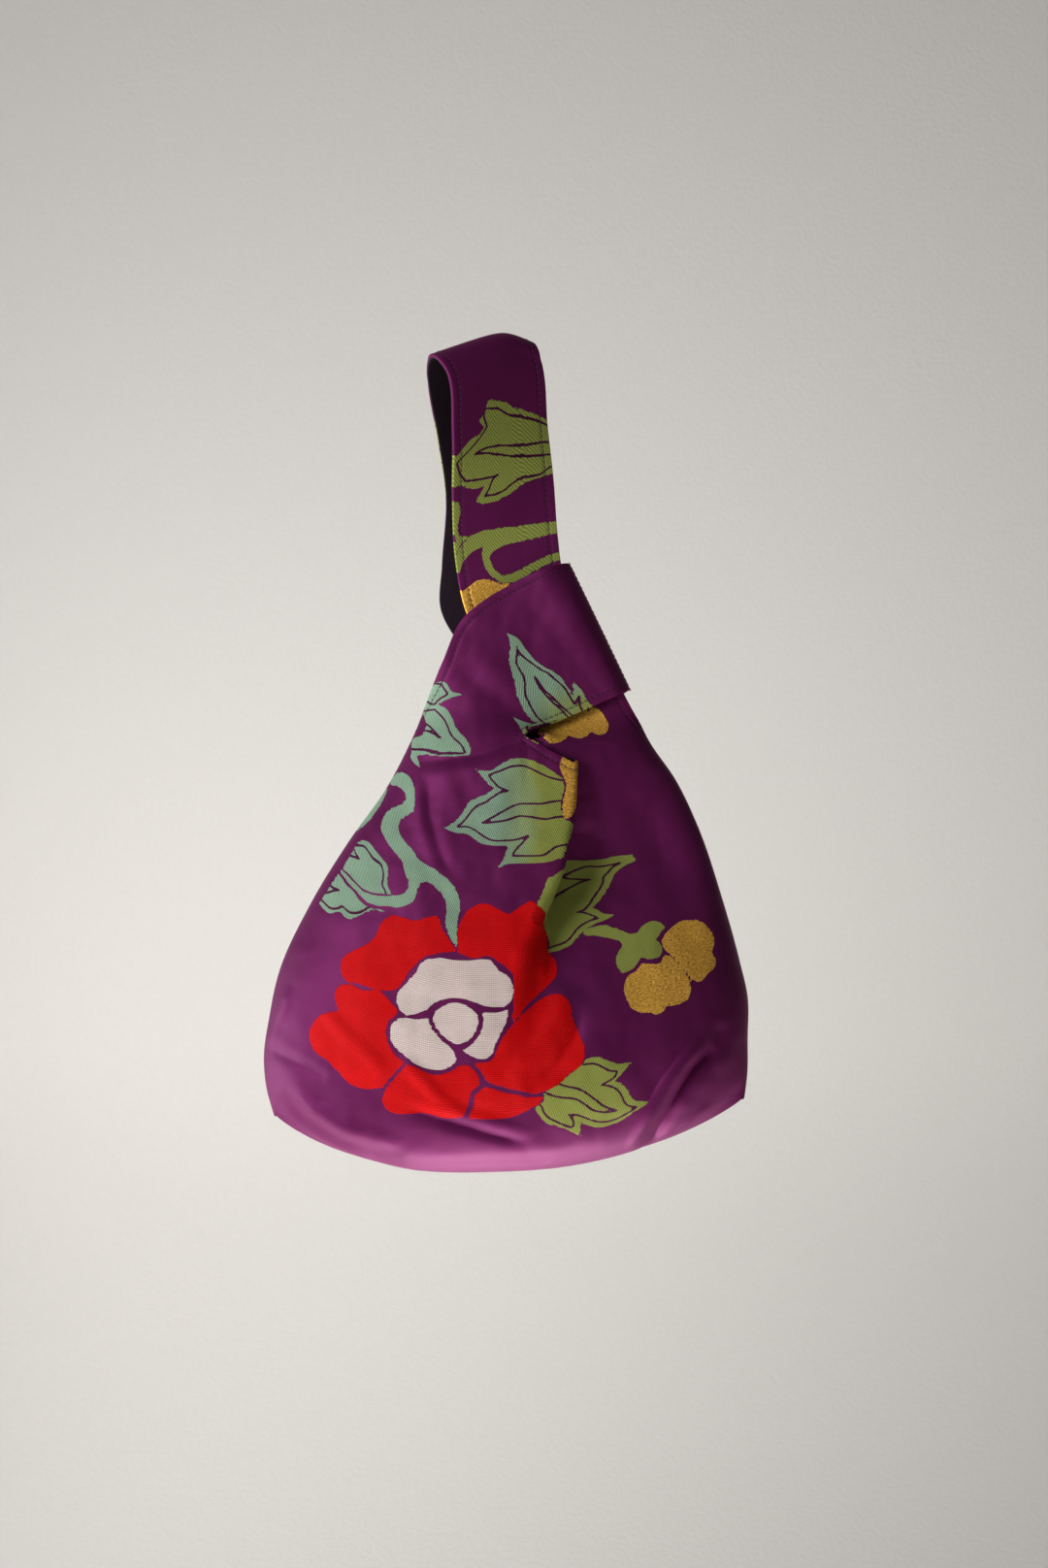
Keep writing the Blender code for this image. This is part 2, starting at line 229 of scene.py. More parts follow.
@dataclass
class Panel:
    """One panel of the bag, from its bottom seam to the seams at the top of both handles."""

    side: Side
    layers: Layers = field(default_factory=Layers)
    pleat: PleatFold = field(default_factory=PleatFold)
    width: float = 0.238
    height: float = 0.211
    depth: float = 0.104
    roundness: float = 2.3
    sag_roundness: float = 2.7
    sag_skew: float = 0.05
    handle_drop: float = 0.1424
    strap_width: float = 0.051
    hook_x: float = 0.0
    hook_radius: float = 0.006
    knot_lean: float = 24.0
    knot_x: float = 0.0125
    band_width: float = 0.070
    band_centre: float = -0.013
    band_bulge: float = 0.0035
    knot_half_gap: float = 0.006
    knot_clearance: float = 0.0028
    band_end_clearance: float = 0.0045
    strap_lean: float = 22.0
    strap_drift: float = 0.055
    seam_top_drop: float = 0.0535
    droop_slope: float = 0.42
    arch_radius: float = 0.0095
    arch_slope: float = 3.0
    arch_twists: tuple[float, float] = (26.0, 18.0)
    arch_x: tuple[float, float] = (-0.0097, -0.0115)
    left_cuts: int = 96
    right_cuts: int = 92
    row_length: float = 0.00118
    rim_ramps: tuple[float, float] = (7.0, 6.0)
    seam_fade: float = 0.008
    ridge_place: float = 1.6
    inner_edge: float = 0.02
    creases: tuple[Crease, ...] = ()
    sections: tuple[BodySection, ...] = (
        BodySection(-0.950, 0.988, 0.111, 0.150, 0.000, 0.00, 0.000, 0.00),
        BodySection(-0.980, 1.000, 0.176, 0.213, 0.009, 0.46, 0.000, 0.00),
        BodySection(-0.990, 1.000, 0.248, 0.291, 0.059, 0.80, 0.000, 0.00),
        BodySection(-0.968, 1.000, 0.337, 0.386, 0.176, 0.97, 0.018, 0.00),
        BodySection(-0.930, 0.966, 0.438, 0.472, 0.333, 1.00, 0.050, 0.05),
        BodySection(-0.803, 0.890, 0.595, 0.624, 0.519, 0.92, 0.104, 0.22),
        BodySection(-0.648, 0.800, 0.738, 0.775, 0.700, 0.76, 0.230, 0.50),
        BodySection(-0.475, 0.703, 0.876, 0.890, 0.857, 0.60, 0.275, 0.80),
        BodySection(-0.356, 0.593, 1.007, 0.980, 0.981, 0.47, 0.285, 1.00),
    )
    band_stations: tuple[tuple[float, ...], ...] = (
        (-1.52, 0.195, -0.31, 1.10),
        (-0.99, 0.400, 0.16, 1.05),
        (-0.06, 0.490, 0.60, 1.00),
        (0.76, 0.490, 0.84, 1.00),
        (0.90, 0.475, 0.965, 0.68),
        (0.93, 0.470, 1.00, 0.00),
    )
    knot_rows: tuple[tuple[float, float], ...] = (
        (-0.71, -0.0010),
        (-0.34, -0.0040),
        (0.0, -0.0100),
        (0.29, -0.0120),
    )
    strap_stations: tuple[tuple[float, ...], ...] = (
        (0.145, 0.0006, 12.5, 4.0, 0.013, -0.0060, 0.0),
        (0.390, -0.0024, 8.0, 14.0, 0.012, 0.0, 0.0),
        (0.640, -0.0059, 6.0, 26.0, 0.015, 0.0, 0.3),
    )
    arch_angles: tuple[float, ...] = (0.0, 30.0, 60.0, 80.0, 90.0)

    @property
    def sign(self) -> int:
        """-1 on the front panel and 1 on the back one."""
        return self.side.value

    @property
    def floor(self) -> float:
        """The height of the bag's lowest point."""
        return -self.handle_drop - self.seam_top_drop - self.height

    def knot_point(self, across: float, along: float) -> Array:
        """(x, z) of a point given across and along the strap inside the knot.

        Args:
            across: the way across the strap.
            along: the way up along it.

        Returns:
            Its x and z.
        """
        lean = math.radians(self.knot_lean)
        across_axis = np.array([math.cos(lean), math.sin(lean)])
        along_axis = np.array([-math.sin(lean), math.cos(lean)])
        return np.array([self.knot_x, -self.handle_drop]) + across * across_axis + along * along_axis

    def body_row(self, section: BodySection) -> Array:
        """Points across the body from its left to its right side seam.

        Args:
            section: the row's shares.

        Returns:
            The row's points, one for each column.
        """
        cloth = self.layers.total
        half = self.width / 2 - cloth
        left, right = section.left * half, section.right * half
        left_z, right_z, middle_z = (
            self.floor + cloth + share * (self.height - cloth)
            for share in (section.left_height, section.right_height, section.middle_height)
        )
        centre, span = (left + right) / 2, (right - left) / 2
        fold_x, fold_y, fold_z = self.pleat.columns(section.pleat, cloth, self.side)
        fold_x = fold_x + section.pleat_x * half
        first, last = (math.asin((x - centre) / span) for x in (fold_x[0], fold_x[-1]))
        left_turns = np.linspace(-math.pi / 2, first, self.left_cuts + 1)[:-1]
        right_turns = np.linspace(last, math.pi / 2, self.right_cuts + 1)[1:]
        x = np.concatenate(
            [centre + span * np.sin(left_turns), fold_x, centre + span * np.sin(right_turns)]
        )
        share = np.clip((x - centre) / span, -1, 1)
        curve = (1 - np.abs(share) ** self.roundness) ** (1 / self.roundness)
        deep = section.depth * (self.depth / 2 - cloth) * curve
        left_rate, right_rate = self.rim_ramps
        left_ramp = eased((left_turns - first) / (first + math.pi / 2) * left_rate + 1)
        right_ramp = eased(1 - (right_turns - last) / (math.pi / 2 - last) * right_rate)
        dips = np.concatenate([fold_z[0] * left_ramp, fold_z, fold_z[-1] * right_ramp])
        level = fold_y[-1] * np.cos(right_turns) / math.cos(last)
        sunk = np.concatenate([np.zeros(self.left_cuts), fold_y, level])
        sunk += np.where(dips > 0, self.pleat.tuck, self.pleat.flare) * dips
        sag = (left_z + right_z) / 2 - middle_z
        skewed = share + self.sag_skew * (1 - share**2)
        z = left_z + (right_z - left_z) * (share + 1) / 2
        z -= sag * (1 - np.abs(skewed) ** self.sag_roundness)
        z += dips
        y = self.sign * (self.layers.seam / 2 + np.maximum(deep - sunk, 0))
        return np.stack([x, y, z], axis=1)

    def band_row(self, station: tuple[float, ...], shares: Array) -> Array:
        """Points across the short handle, from its armhole edge to its mouth edge.

        Args:
            station: the ends of the row, in shares, and its depth.
            shares: how far along the row each point lies.

        Returns:
            The row's points.
        """
        upper_along, upper_across, lower_along, deep = station
        half = self.strap_width / 2 + self.band_end_clearance
        upper = self.knot_point(upper_along * half, self.band_centre + upper_across * self.band_width)
        lower = self.knot_point(lower_along * half, self.band_centre - self.band_width / 2)
        flat = upper + shares[:, None] * (lower - upper)
        stand = deep * (self.knot_half_gap + self.layers.total + self.knot_clearance)
        bulge = deep * self.band_bulge * np.sin(np.pi * shares)
        y = self.sign * (self.layers.seam / 2 + stand + bulge)
        return np.stack([flat[:, 0], y, flat[:, 1]], axis=1)

    def strap_row(
        self, centre: Array, slope: float, twist: float, offset: Array, shares: Array
    ) -> Array:
        """Points across one strand of the long handle, from its left to its right edge.

        Args:
            centre: the middle of the two strands.
            slope: the row's rise to the right, in degrees.
            twist: the row's turn towards the back, in degrees.
            offset: from the middle to this strand.
            shares: how far along the row each point lies.

        Returns:
            The row's points.
        """
        slope, twist = math.radians(slope), math.radians(twist)
        across = np.array(
            [math.cos(twist) * math.cos(slope), math.sin(twist) * math.cos(slope), math.sin(slope)]
        )
        return centre + offset + np.outer((shares - 0.5) * self.strap_width, across)

    def drooped(self, row: Array, amount: float) -> Array:
        """The row with both its ends hanging down from the hook.

        Args:
            row: the row's points, which are moved.
            amount: how far its ends hang, 0 to 1.

        Returns:
            The same row.
        """
        away = np.hypot(row[:, 0] - self.hook_x, self.hook_radius) - self.hook_radius
        row[:, 2] -= amount * self.droop_slope * away
        return row

    def strap_rows(self, shares: Array) -> list[Array]:
        """The rows of one strand, from inside the knot to the seam over the hook.

        Args:
            shares: how far along its row each point lies.

        Returns:
            The rows, from below.
        """
        rows = []
        for along, back_shift in self.knot_rows:
            drift = -self.strap_drift * min(along, 0) * self.band_width
            x, z = self.knot_point(drift, along * self.band_width)
            shift = back_shift if self.side is Side.BACK else 0.0
            offset = np.array([shift, self.sign * self.knot_half_gap, 0.0])
            rows.append(self.strap_row(np.array([x, 0.0, z]), self.strap_lean, 0.0, offset, shares))
        knot_top = self.knot_point(0.0, self.knot_rows[-1][0] * self.band_width)[1]
        for rise, x, slope, twist_degrees, gap, back_shift, droop in self.strap_stations:
            twist = math.radians(twist_degrees)
            offset = self.sign * gap / 2 * np.array([-math.sin(twist), math.cos(twist), 0.0])
            offset[0] += back_shift if self.side is Side.BACK else 0.0
            centre = np.array([x, 0.0, knot_top * (1 - rise)])
            row = self.strap_row(centre, slope, twist_degrees, offset, shares)
            rows.append(self.drooped(row, droop))
        for angle in np.radians(self.arch_angles):
            out = max(self.arch_radius * math.cos(angle), self.layers.seam / 2)
            rise = math.sin(angle)
            twist = self.arch_twists[0] + rise * (self.arch_twists[1] - self.arch_twists[0])
            offset = self.sign * out * np.array([-math.sin(math.radians(twist)), 1.0, 0.0])
            x = self.arch_x[0] + rise * (self.arch_x[1] - self.arch_x[0])
            centre = np.array([x, 0.0, self.arch_radius * (rise - 1)])
            row = self.strap_row(centre, self.arch_slope * (1 - rise), twist, offset, shares)
            rows.append(self.drooped(row, 1.0))
        return rows

    def crease(self, rows: Array) -> None:
        """Sinks the folds and faint wrinkles into rows, and keeps them on their own side of the seams.

        Args:
            rows: the rows' points, which are moved.
        """
        view = FrontView()
        seen = view.seen(rows)
        sunk = wrinkles(rows[:, :, 0], rows[:, :, 2], self.side)
        for crease in self.creases:
            away, share = beside_line(seen, np.array(crease.line, float))
            away = away * view.unit / crease.reach
            fade = np.clip(6 * share * (1 - share), 0, 1)
            ridge = crease.ridge * np.exp(-((away - self.ridge_place) ** 2))
            sunk += crease.depth * (np.exp(-(away**2)) - ridge) * fade
        deep = self.sign * rows[:, :, 1]
        sunk *= eased((deep - self.layers.seam / 2) / self.seam_fade)
        rows[:, :, 1] = self.sign * np.maximum(deep - np.minimum(sunk, deep / 2), self.layers.seam / 2)

    def steps(self, keys: list[Array]) -> list[int]:
        """How many rows to cut between key rows, by how far apart they lie."""
        gaps = [np.linalg.norm(b - a, axis=1).max() for a, b in zip(keys, keys[1:])]
        return [max(2, math.ceil(gap / self.row_length)) for gap in gaps]

    def grids(self) -> tuple[Array, Array, Array]:
        """The panel's three lofts: the short handle's columns, the pleat's and the long handle's.

        Returns:
            Three grids of points, each from its lowest row up.
        """
        body = [self.body_row(section) for section in self.sections]
        left_end = self.left_cuts + 1
        right_start = self.left_cuts + self.pleat.count - 1
        left_shares = shares_across(body[-1][:left_end])
        right_shares = shares_across(body[-1][right_start:])
        band = [self.band_row(station, left_shares) for station in self.band_stations]
        strap = self.strap_rows(right_shares)
        body_steps = self.steps(body)
        left_keys = [row[:left_end] for row in body] + band
        right_keys = [row[right_start:] for row in body] + strap
        count = len(body) - 1
        left = loft(left_keys, body_steps + self.steps(left_keys[count:]))
        pleat = loft([row[left_end - 1 : right_start + 1] for row in body], body_steps)
        right = loft(right_keys, body_steps + self.steps(right_keys[count:]))
        for rows in (left, pleat, right[: len(pleat)]):
            self.crease(rows)
        left[:, :, 1] = self.sign * np.maximum(self.sign * left[:, :, 1], self.layers.seam / 2)
        return left, pleat, right

    def surface(self) -> Mesh:
        """The panel's inner face as one mesh looking outwards, with its cloth coordinates.

        Returns:
            The mesh.
        """
        left, pleat, right = self.grids()
        height = len(pleat)
        top = height - 1
        index_left = np.arange(left.shape[0] * left.shape[1]).reshape(left.shape[:2])
        index_right = index_left.size + np.arange(right.shape[0] * right.shape[1])
        index_right = index_right.reshape(right.shape[:2])
        index_pleat = index_left.size + index_right.size + np.arange(height * (pleat.shape[1] - 2))
        index_pleat = index_pleat.reshape(height, -1)
        index_pleat = np.concatenate(
            [index_left[:height, -1:], index_pleat, index_right[:height, :1]], axis=1
        )
        points = np.concatenate(
            [left.reshape(-1, 3), right.reshape(-1, 3), pleat[:, 1:-1].reshape(-1, 3)]
        )
        faces = np.concatenate([quads(grid) for grid in (index_left, index_pleat, index_right)])
        if self.side is Side.BACK:
            faces = faces[:, ::-1]
        cloth = np.zeros((len(points), 2))
        edge = np.full(len(points), self.inner_edge)
        whole = np.concatenate([left[:height], pleat[:, 1:], right[:height, 1:]], axis=1)
        whole_index = np.concatenate(
            [index_left[:height], index_pleat[:, 1:], index_right[:height, 1:]], axis=1
        )
        across = run_lengths(whole, 1)
        lip = self.left_cuts
        across += (whole[:, lip, 0] - across[:, lip])[:, None]
        down = run_lengths(whole, 0)
        along = down + whole[0, :, 2]
        cloth[whole_index] = np.stack([across, along], axis=2)
        edge[index_pleat] = np.minimum(edge[index_pleat], run_lengths(pleat[::-1], 0)[::-1])
        for rows, index, start in ((left, index_left, 0), (right, index_right, whole.shape[1])):
            free, place = rows[top:], index[top:]
            width = free.shape[1]
            columns = slice(0, width) if start == 0 else slice(start - width, start)
            run = run_lengths(free, 1)
            middle = width // 2
            anchor = across[top, columns][middle]
            flat_across = run - run[:, middle : middle + 1] + anchor
            flat_along = run_lengths(free, 0) + along[top, columns]
            cloth[place[1:]] = np.stack([flat_across, flat_along], axis=2)[1:]
            sides = np.minimum(run, run[:, -1:] - run)
            if start == 0:
                ends = run_lengths(free[::-1], 0)[::-1]
                sides = np.minimum(sides, ends)
            edge[place[1:]] = np.minimum(edge[place[1:]], sides[1:])
        return Mesh(points, faces, cloth, edge)

    def stitch_paths(self, inset: float, lift: float) -> list[Array]:
        """Lines on the outer face that run a fixed way inside each free edge.

        Args:
            inset: how far inside the edge the line runs.
            lift: how far outside the panel's inner face it lies.

        Returns:
            A line of points for each edge.
        """
        left, pleat, right = self.grids()
        top = len(pleat) - 1
        lifted = [grid + lift * grid_normals(grid, self.side) for grid in (left, pleat, right)]
        left, pleat, right = lifted
        band, strap = left[top:], right[top:]
        lines = [inset_line(band, inset, 1, False), inset_line(band, inset, 1, True)]
        lines += [inset_line(strap, inset, 1, False), inset_line(strap, inset, 1, True)]
        lines += [inset_line(band, inset, 0, True), inset_line(pleat, inset, 0, True)]
        return lines


def curve_point(t: float, start: Array, end: Array, leave: Array, arrive: Array) -> Array:
    """A place on a smooth curve between two ends.

    Args:
        t: how far along it, 0 to 1.
        start: where the curve starts.
        end: where it ends.
        leave: the way it runs at its start.
        arrive: the way it runs at its end.

    Returns:
        The place, or the places of a whole row.
    """
    return (
        (2 * t**3 - 3 * t**2 + 1) * start
        + (t**3 - 2 * t**2 + t) * leave
        + (3 * t**2 - 2 * t**3) * end
        + (t**3 - t**2) * arrive
    )


def loft(keys: list[Array], steps: list[int]) -> Array:
    """Rows of a smooth surface through key rows.

    Args:
        keys: the key rows, all with as many points.
        steps: how many rows to cut from each key row on.

    Returns:
        The rows as one array.
    """
    rows_in = np.array(keys)
    spans = np.linalg.norm(np.diff(rows_in, axis=0), axis=2)[:, :, None]
    slopes = np.diff(rows_in, axis=0) / spans
    inner = (spans[:-1] * slopes[1:] + spans[1:] * slopes[:-1]) / (spans[:-1] + spans[1:])
    tangents = np.concatenate([slopes[:1], inner, slopes[-1:]])
    rows = []
    for i in range(len(rows_in) - 1):
        for t in np.arange(steps[i]) / steps[i]:
            leave, arrive = spans[i] * tangents[i], spans[i] * tangents[i + 1]
            rows.append(curve_point(t, rows_in[i], rows_in[i + 1], leave, arrive))
    return np.array([*rows, rows_in[-1]])


def shares_across(row: Array) -> Array:
    """How far along a row each of its points lies, from 0 to 1."""
    lengths = np.linalg.norm(np.diff(row, axis=0), axis=1)
    return np.concatenate([[0], np.cumsum(lengths)]) / lengths.sum()


def run_lengths(grid: Array, axis: int) -> Array:
    """The length along a grid's rows or columns up to each of its points.

    Args:
        grid: the points.
        axis: 0 to go along the columns or 1 to go along the rows.

    Returns:
        The lengths.
    """
    steps = np.linalg.norm(np.diff(grid, axis=axis), axis=2)
    pads = ((1, 0), (0, 0)) if axis == 0 else ((0, 0), (1, 0))
    return np.pad(np.cumsum(steps, axis=axis), pads)


def quads(index: Array) -> Array:
    """The faces between the points of a grid of vertex numbers.

    Args:
        index: the numbers, laid out as the grid.

    Returns:
        Four numbers for each face.
    """
    corners = [index[:-1, :-1], index[:-1, 1:], index[1:, 1:], index[1:, :-1]]
    return np.stack(corners, axis=2).reshape(-1, 4)


def eased(share: Array) -> Array:
    """A share from 0 to 1 with a soft start and a soft end."""
    share = np.clip(share, 0, 1)
    return share**2 * (3 - 2 * share)


WRINKLE_LENGTHS = (0.052, 0.041, 0.033, 0.026, 0.021, 0.016, 0.012, 0.0095)
WRINKLES_OF_EACH = 2
WRINKLE_HEIGHT = 0.0030
WRINKLE_SWAY = 0.25
WRINKLE_SWAY_RATE = 4
WRINKLE_SEED = 11


def wrinkles(x: Array, z: Array, side: Side) -> Array:
    """Faint uneven wrinkles of cloth, as how far they sink at each point.

    Args:
        x: where the points lie across.
        z: how high they lie.
        side: the panel they are on.

    Returns:
        The depths.
    """
    random = np.random.default_rng(WRINKLE_SEED + side.value)
    sunk = np.zeros(x.shape)
    for length in WRINKLE_LENGTHS:
        for _ in range(WRINKLES_OF_EACH):
            turn, phase, bend = random.uniform(0, 2 * math.pi, 3)
            beside = z * math.cos(turn) - x * math.sin(turn)
            sway = WRINKLE_SWAY * length * np.sin(beside * WRINKLE_SWAY_RATE / length + bend)
            along = x * math.cos(turn) + z * math.sin(turn) + sway
            sunk += WRINKLE_HEIGHT * length * np.sin(along * 2 * math.pi / length + phase)
    return sunk


def beside_line(points: Array, line: Array) -> tuple[Array, Array]:
    """How far points lie from a line, positive on its left, and how far along it, from 0 to 1.

    Args:
        points: the points.
        line: the line's own points.

    Returns:
        The distances and the shares.
    """
    lengths = np.linalg.norm(np.diff(line, axis=0), axis=1)
    before = np.concatenate([[0], np.cumsum(lengths)])
    best = np.full(points.shape[:-1], 1e9)
    signed, share = np.zeros_like(best), np.zeros_like(best)
    for i, (a, b) in enumerate(zip(line, line[1:])):
        run, offset = b - a, points - a
        along = np.clip(offset @ run / (run @ run), 0, 1)
        away = np.linalg.norm(offset - along[..., None] * run, axis=-1)
        left = run[1] * offset[..., 0] - run[0] * offset[..., 1]
        closer = away < best
        best = np.where(closer, away, best)
        signed = np.where(closer, np.where(left > 0, away, -away), signed)
        share = np.where(closer, (before[i] + along * lengths[i]) / before[-1], share)
    return signed, share


def grid_normals(grid: Array, side: Side) -> Array:
    """The outward direction at each point of a grid.

    Args:
        grid: the points.
        side: the panel they are on.

    Returns:
        Unit directions.
    """
    normals = np.cross(np.gradient(grid, axis=1), np.gradient(grid, axis=0))
    normals /= np.maximum(np.linalg.norm(normals, axis=2, keepdims=True), 1e-12)
    return normals if side is Side.FRONT else -normals


def inset_line(grid: Array, inset: float, axis: int, far: bool) -> Array:
    """The line that runs a fixed way inside one border of a grid.

    Args:
        grid: the points.
        inset: the way inside, along the rows for axis 1 or the columns for axis 0.
        axis: the axis that the inset is measured on.
        far: whether the border is the last one on that axis.

    Returns:
        The line's points.
    """
    rows = grid if axis == 1 else np.swapaxes(grid, 0, 1)
    rows = rows[:, ::-1] if far else rows
    line = []
    for row in rows:
        run = np.concatenate([[0], np.cumsum(np.linalg.norm(np.diff(row, axis=0), axis=1))])
        line.append([np.interp(inset, run, row[:, i]) for i in range(3)])
    return np.array(line)


def vertex_normals(points: Array, faces: Array) -> Array:
    """Unit normals of a quad mesh at its vertices.

    Args:
        points: the points.
        faces: the numbers of each face's corners.

    Returns:
        Unit directions.
    """
    a, b, c, d = (points[faces[:, i]] for i in range(4))
    flat = np.cross(c - a, d - b)
    normals = np.zeros_like(points)
    for i in range(4):
        np.add.at(normals, faces[:, i], flat)
    return normals / np.maximum(np.linalg.norm(normals, axis=1, keepdims=True), 1e-15)


def border(faces: Array) -> Array:
    """The directed edges that only one face uses.

    Args:
        faces: the numbers of each face's corners.

    Returns:
        The two ends of each edge.
    """
    edges = np.concatenate([faces[:, [i, (i + 1) % 4]] for i in range(4)])
    keys = np.sort(edges, axis=1)
    _, first, uses = np.unique(keys, axis=0, return_index=True, return_counts=True)
    return edges[first[uses == 1]]


EDGE_TURNS = (24, 48, 70, 90)
EDGE_INSET_SHARE = 0.8
CORNER_TAPER = 0.2


def edge_room(mesh: Mesh, rim: Array) -> Array:
    """How far in each point of the open edges may move, tapering to nothing at their corners.

    Args:
        mesh: the surface.
        rim: the numbers of the points on its open edges.

    Returns:
        A distance for each of them.
    """
    edges = np.concatenate([mesh.faces[:, [i, (i + 1) % 4]] for i in range(4)])
    lengths = np.linalg.norm(mesh.points[edges[:, 0]] - mesh.points[edges[:, 1]], axis=1)
    on_rim = np.zeros(len(mesh.points), bool)
    on_rim[rim] = True
    inward = on_rim[edges[:, 0]] != on_rim[edges[:, 1]]
    room = np.full(len(mesh.points), np.inf)
    for i in range(2):
        np.minimum.at(room, edges[inward, i], lengths[inward])
    places, room = mesh.points[rim], room[rim]
    for corner in places[np.isinf(room)]:
        room = np.minimum(room, CORNER_TAPER * np.linalg.norm(places - corner, axis=1))
    return room


def turn_edges(mesh: Mesh, radius: float, depth: float, reach: float = 0.00016) -> Mesh:
    """The mesh with its open edges rounded over and turned in.

    Args:
        mesh: the surface, already at the cloth's face.
        radius: the rounding of the edge.
        depth: how far in the turned edge reaches.
        reach: how far out the turned edge swells, so that sewn edges touch.

    Returns:
        The mesh with its turned edges.
    """
    normals = vertex_normals(mesh.points, mesh.faces)
    edges = border(mesh.faces)
    run = mesh.points[edges[:, 1]] - mesh.points[edges[:, 0]]
    run /= np.maximum(np.linalg.norm(run, axis=1, keepdims=True), 1e-12)
    outward = np.zeros_like(mesh.points)
    for i in range(2):
        np.add.at(outward, edges[:, i], np.cross(run, normals[edges[:, i]]))
    rim = np.unique(edges)
    out, up = outward[rim], normals[rim]
    out -= up * np.sum(out * up, axis=1, keepdims=True)
    out /= np.maximum(np.linalg.norm(out, axis=1, keepdims=True), 1e-12)
    room = edge_room(mesh, rim)[:, None]
    radius = np.minimum(radius, EDGE_INSET_SHARE * room)
    start = mesh.points[rim] - radius * out
    points = mesh.points.copy()
    points[rim] = start
    place = np.zeros(len(points), int)
    place[rim] = np.arange(len(rim))
    layers, faces = [points], [mesh.faces]
    turns = np.radians(EDGE_TURNS)
    swell = (radius + reach) * out
    rings = [start + swell * math.sin(t) - radius * up * (1 - math.cos(t)) for t in turns]
    rings.append(mesh.points[rim] + reach * out - up * depth)
    before, total = rim[place[edges]], len(points)
    for ring in rings:
        after = total + place[edges]
        faces.append(np.stack([before[:, 1], before[:, 0], after[:, 0], after[:, 1]], axis=1))
        layers.append(ring)
        before, total = after, total + len(rim)
    cloth = np.concatenate([mesh.cloth] + [mesh.cloth[rim]] * len(rings))
    edge = np.concatenate([mesh.edge] + [mesh.edge[rim]] * len(rings))
    return Mesh(np.concatenate(layers), np.concatenate(faces), cloth, edge)


def moved_out(mesh: Mesh, distance: float) -> Mesh:
    """The mesh moved out along its normals."""
    points = mesh.points + distance * vertex_normals(mesh.points, mesh.faces)
    return Mesh(points, mesh.faces, mesh.cloth, mesh.edge)


# --------------------------------------------------------------------------------------
# The woven pattern
# --------------------------------------------------------------------------------------


@dataclass(frozen=True)
class Figure:
    """One woven figure by the outline it has in the front view. A third number marks a pointed corner."""

    weft: Weft
    points: tuple[tuple[float, ...], ...]

    def outline(self, length: float = 2.2) -> Array:
        """The figure's outline as a smooth run of points that lie about the given length apart.

        Args:
            length: the way between points.

        Returns:
            The points.
        """
        spots = np.array([p[:2] for p in self.points], float)
        sharp = np.array([len(p) > 2 for p in self.points])
        count = len(spots)
        line = []
        for i in range(count):
            a, b, after = spots[i], spots[(i + 1) % count], spots[(i + 2) % count]
            chord = b - a
            size = np.linalg.norm(chord)
            leave = chord if sharp[i] else b - spots[i - 1]
            arrive = chord if sharp[(i + 1) % count] else after - a
            leave = leave / np.linalg.norm(leave) * size
            arrive = arrive / np.linalg.norm(arrive) * size
            cuts = max(2, math.ceil(size / length))
            for t in np.arange(cuts) / cuts:
                line.append(curve_point(t, a, b, leave, arrive))
        return np.array(line)


def shifted(
    figures: Iterable[Figure], across: float, down: float, turn: float = 0.0, mirror: bool = False
) -> tuple[Figure, ...]:
    """Figures moved, turned about their middle and mirrored, for the pattern's next repeat.

    Args:
        figures: the figures to repeat.
        across: the move to the right, in the view's units.
        down: the move down.
        turn: the turn in degrees.
        mirror: whether to mirror them left to right first.

    Returns:
        The moved figures.
    """
    figures = tuple(figures)
    middle = np.mean([p[:2] for figure in figures for p in figure.points], axis=0)
    c, s = math.cos(math.radians(turn)), math.sin(math.radians(turn))
    moved = []
    for figure in figures:
        points = []
        for p in figure.points:
            x, y = np.array(p[:2]) - middle
            x = -x if mirror else x
            place = (middle[0] + c * x - s * y + across, middle[1] + s * x + c * y + down)
            points.append((*place, *p[2:]))
        moved.append(Figure(figure.weft, tuple(points)))
    return tuple(moved)


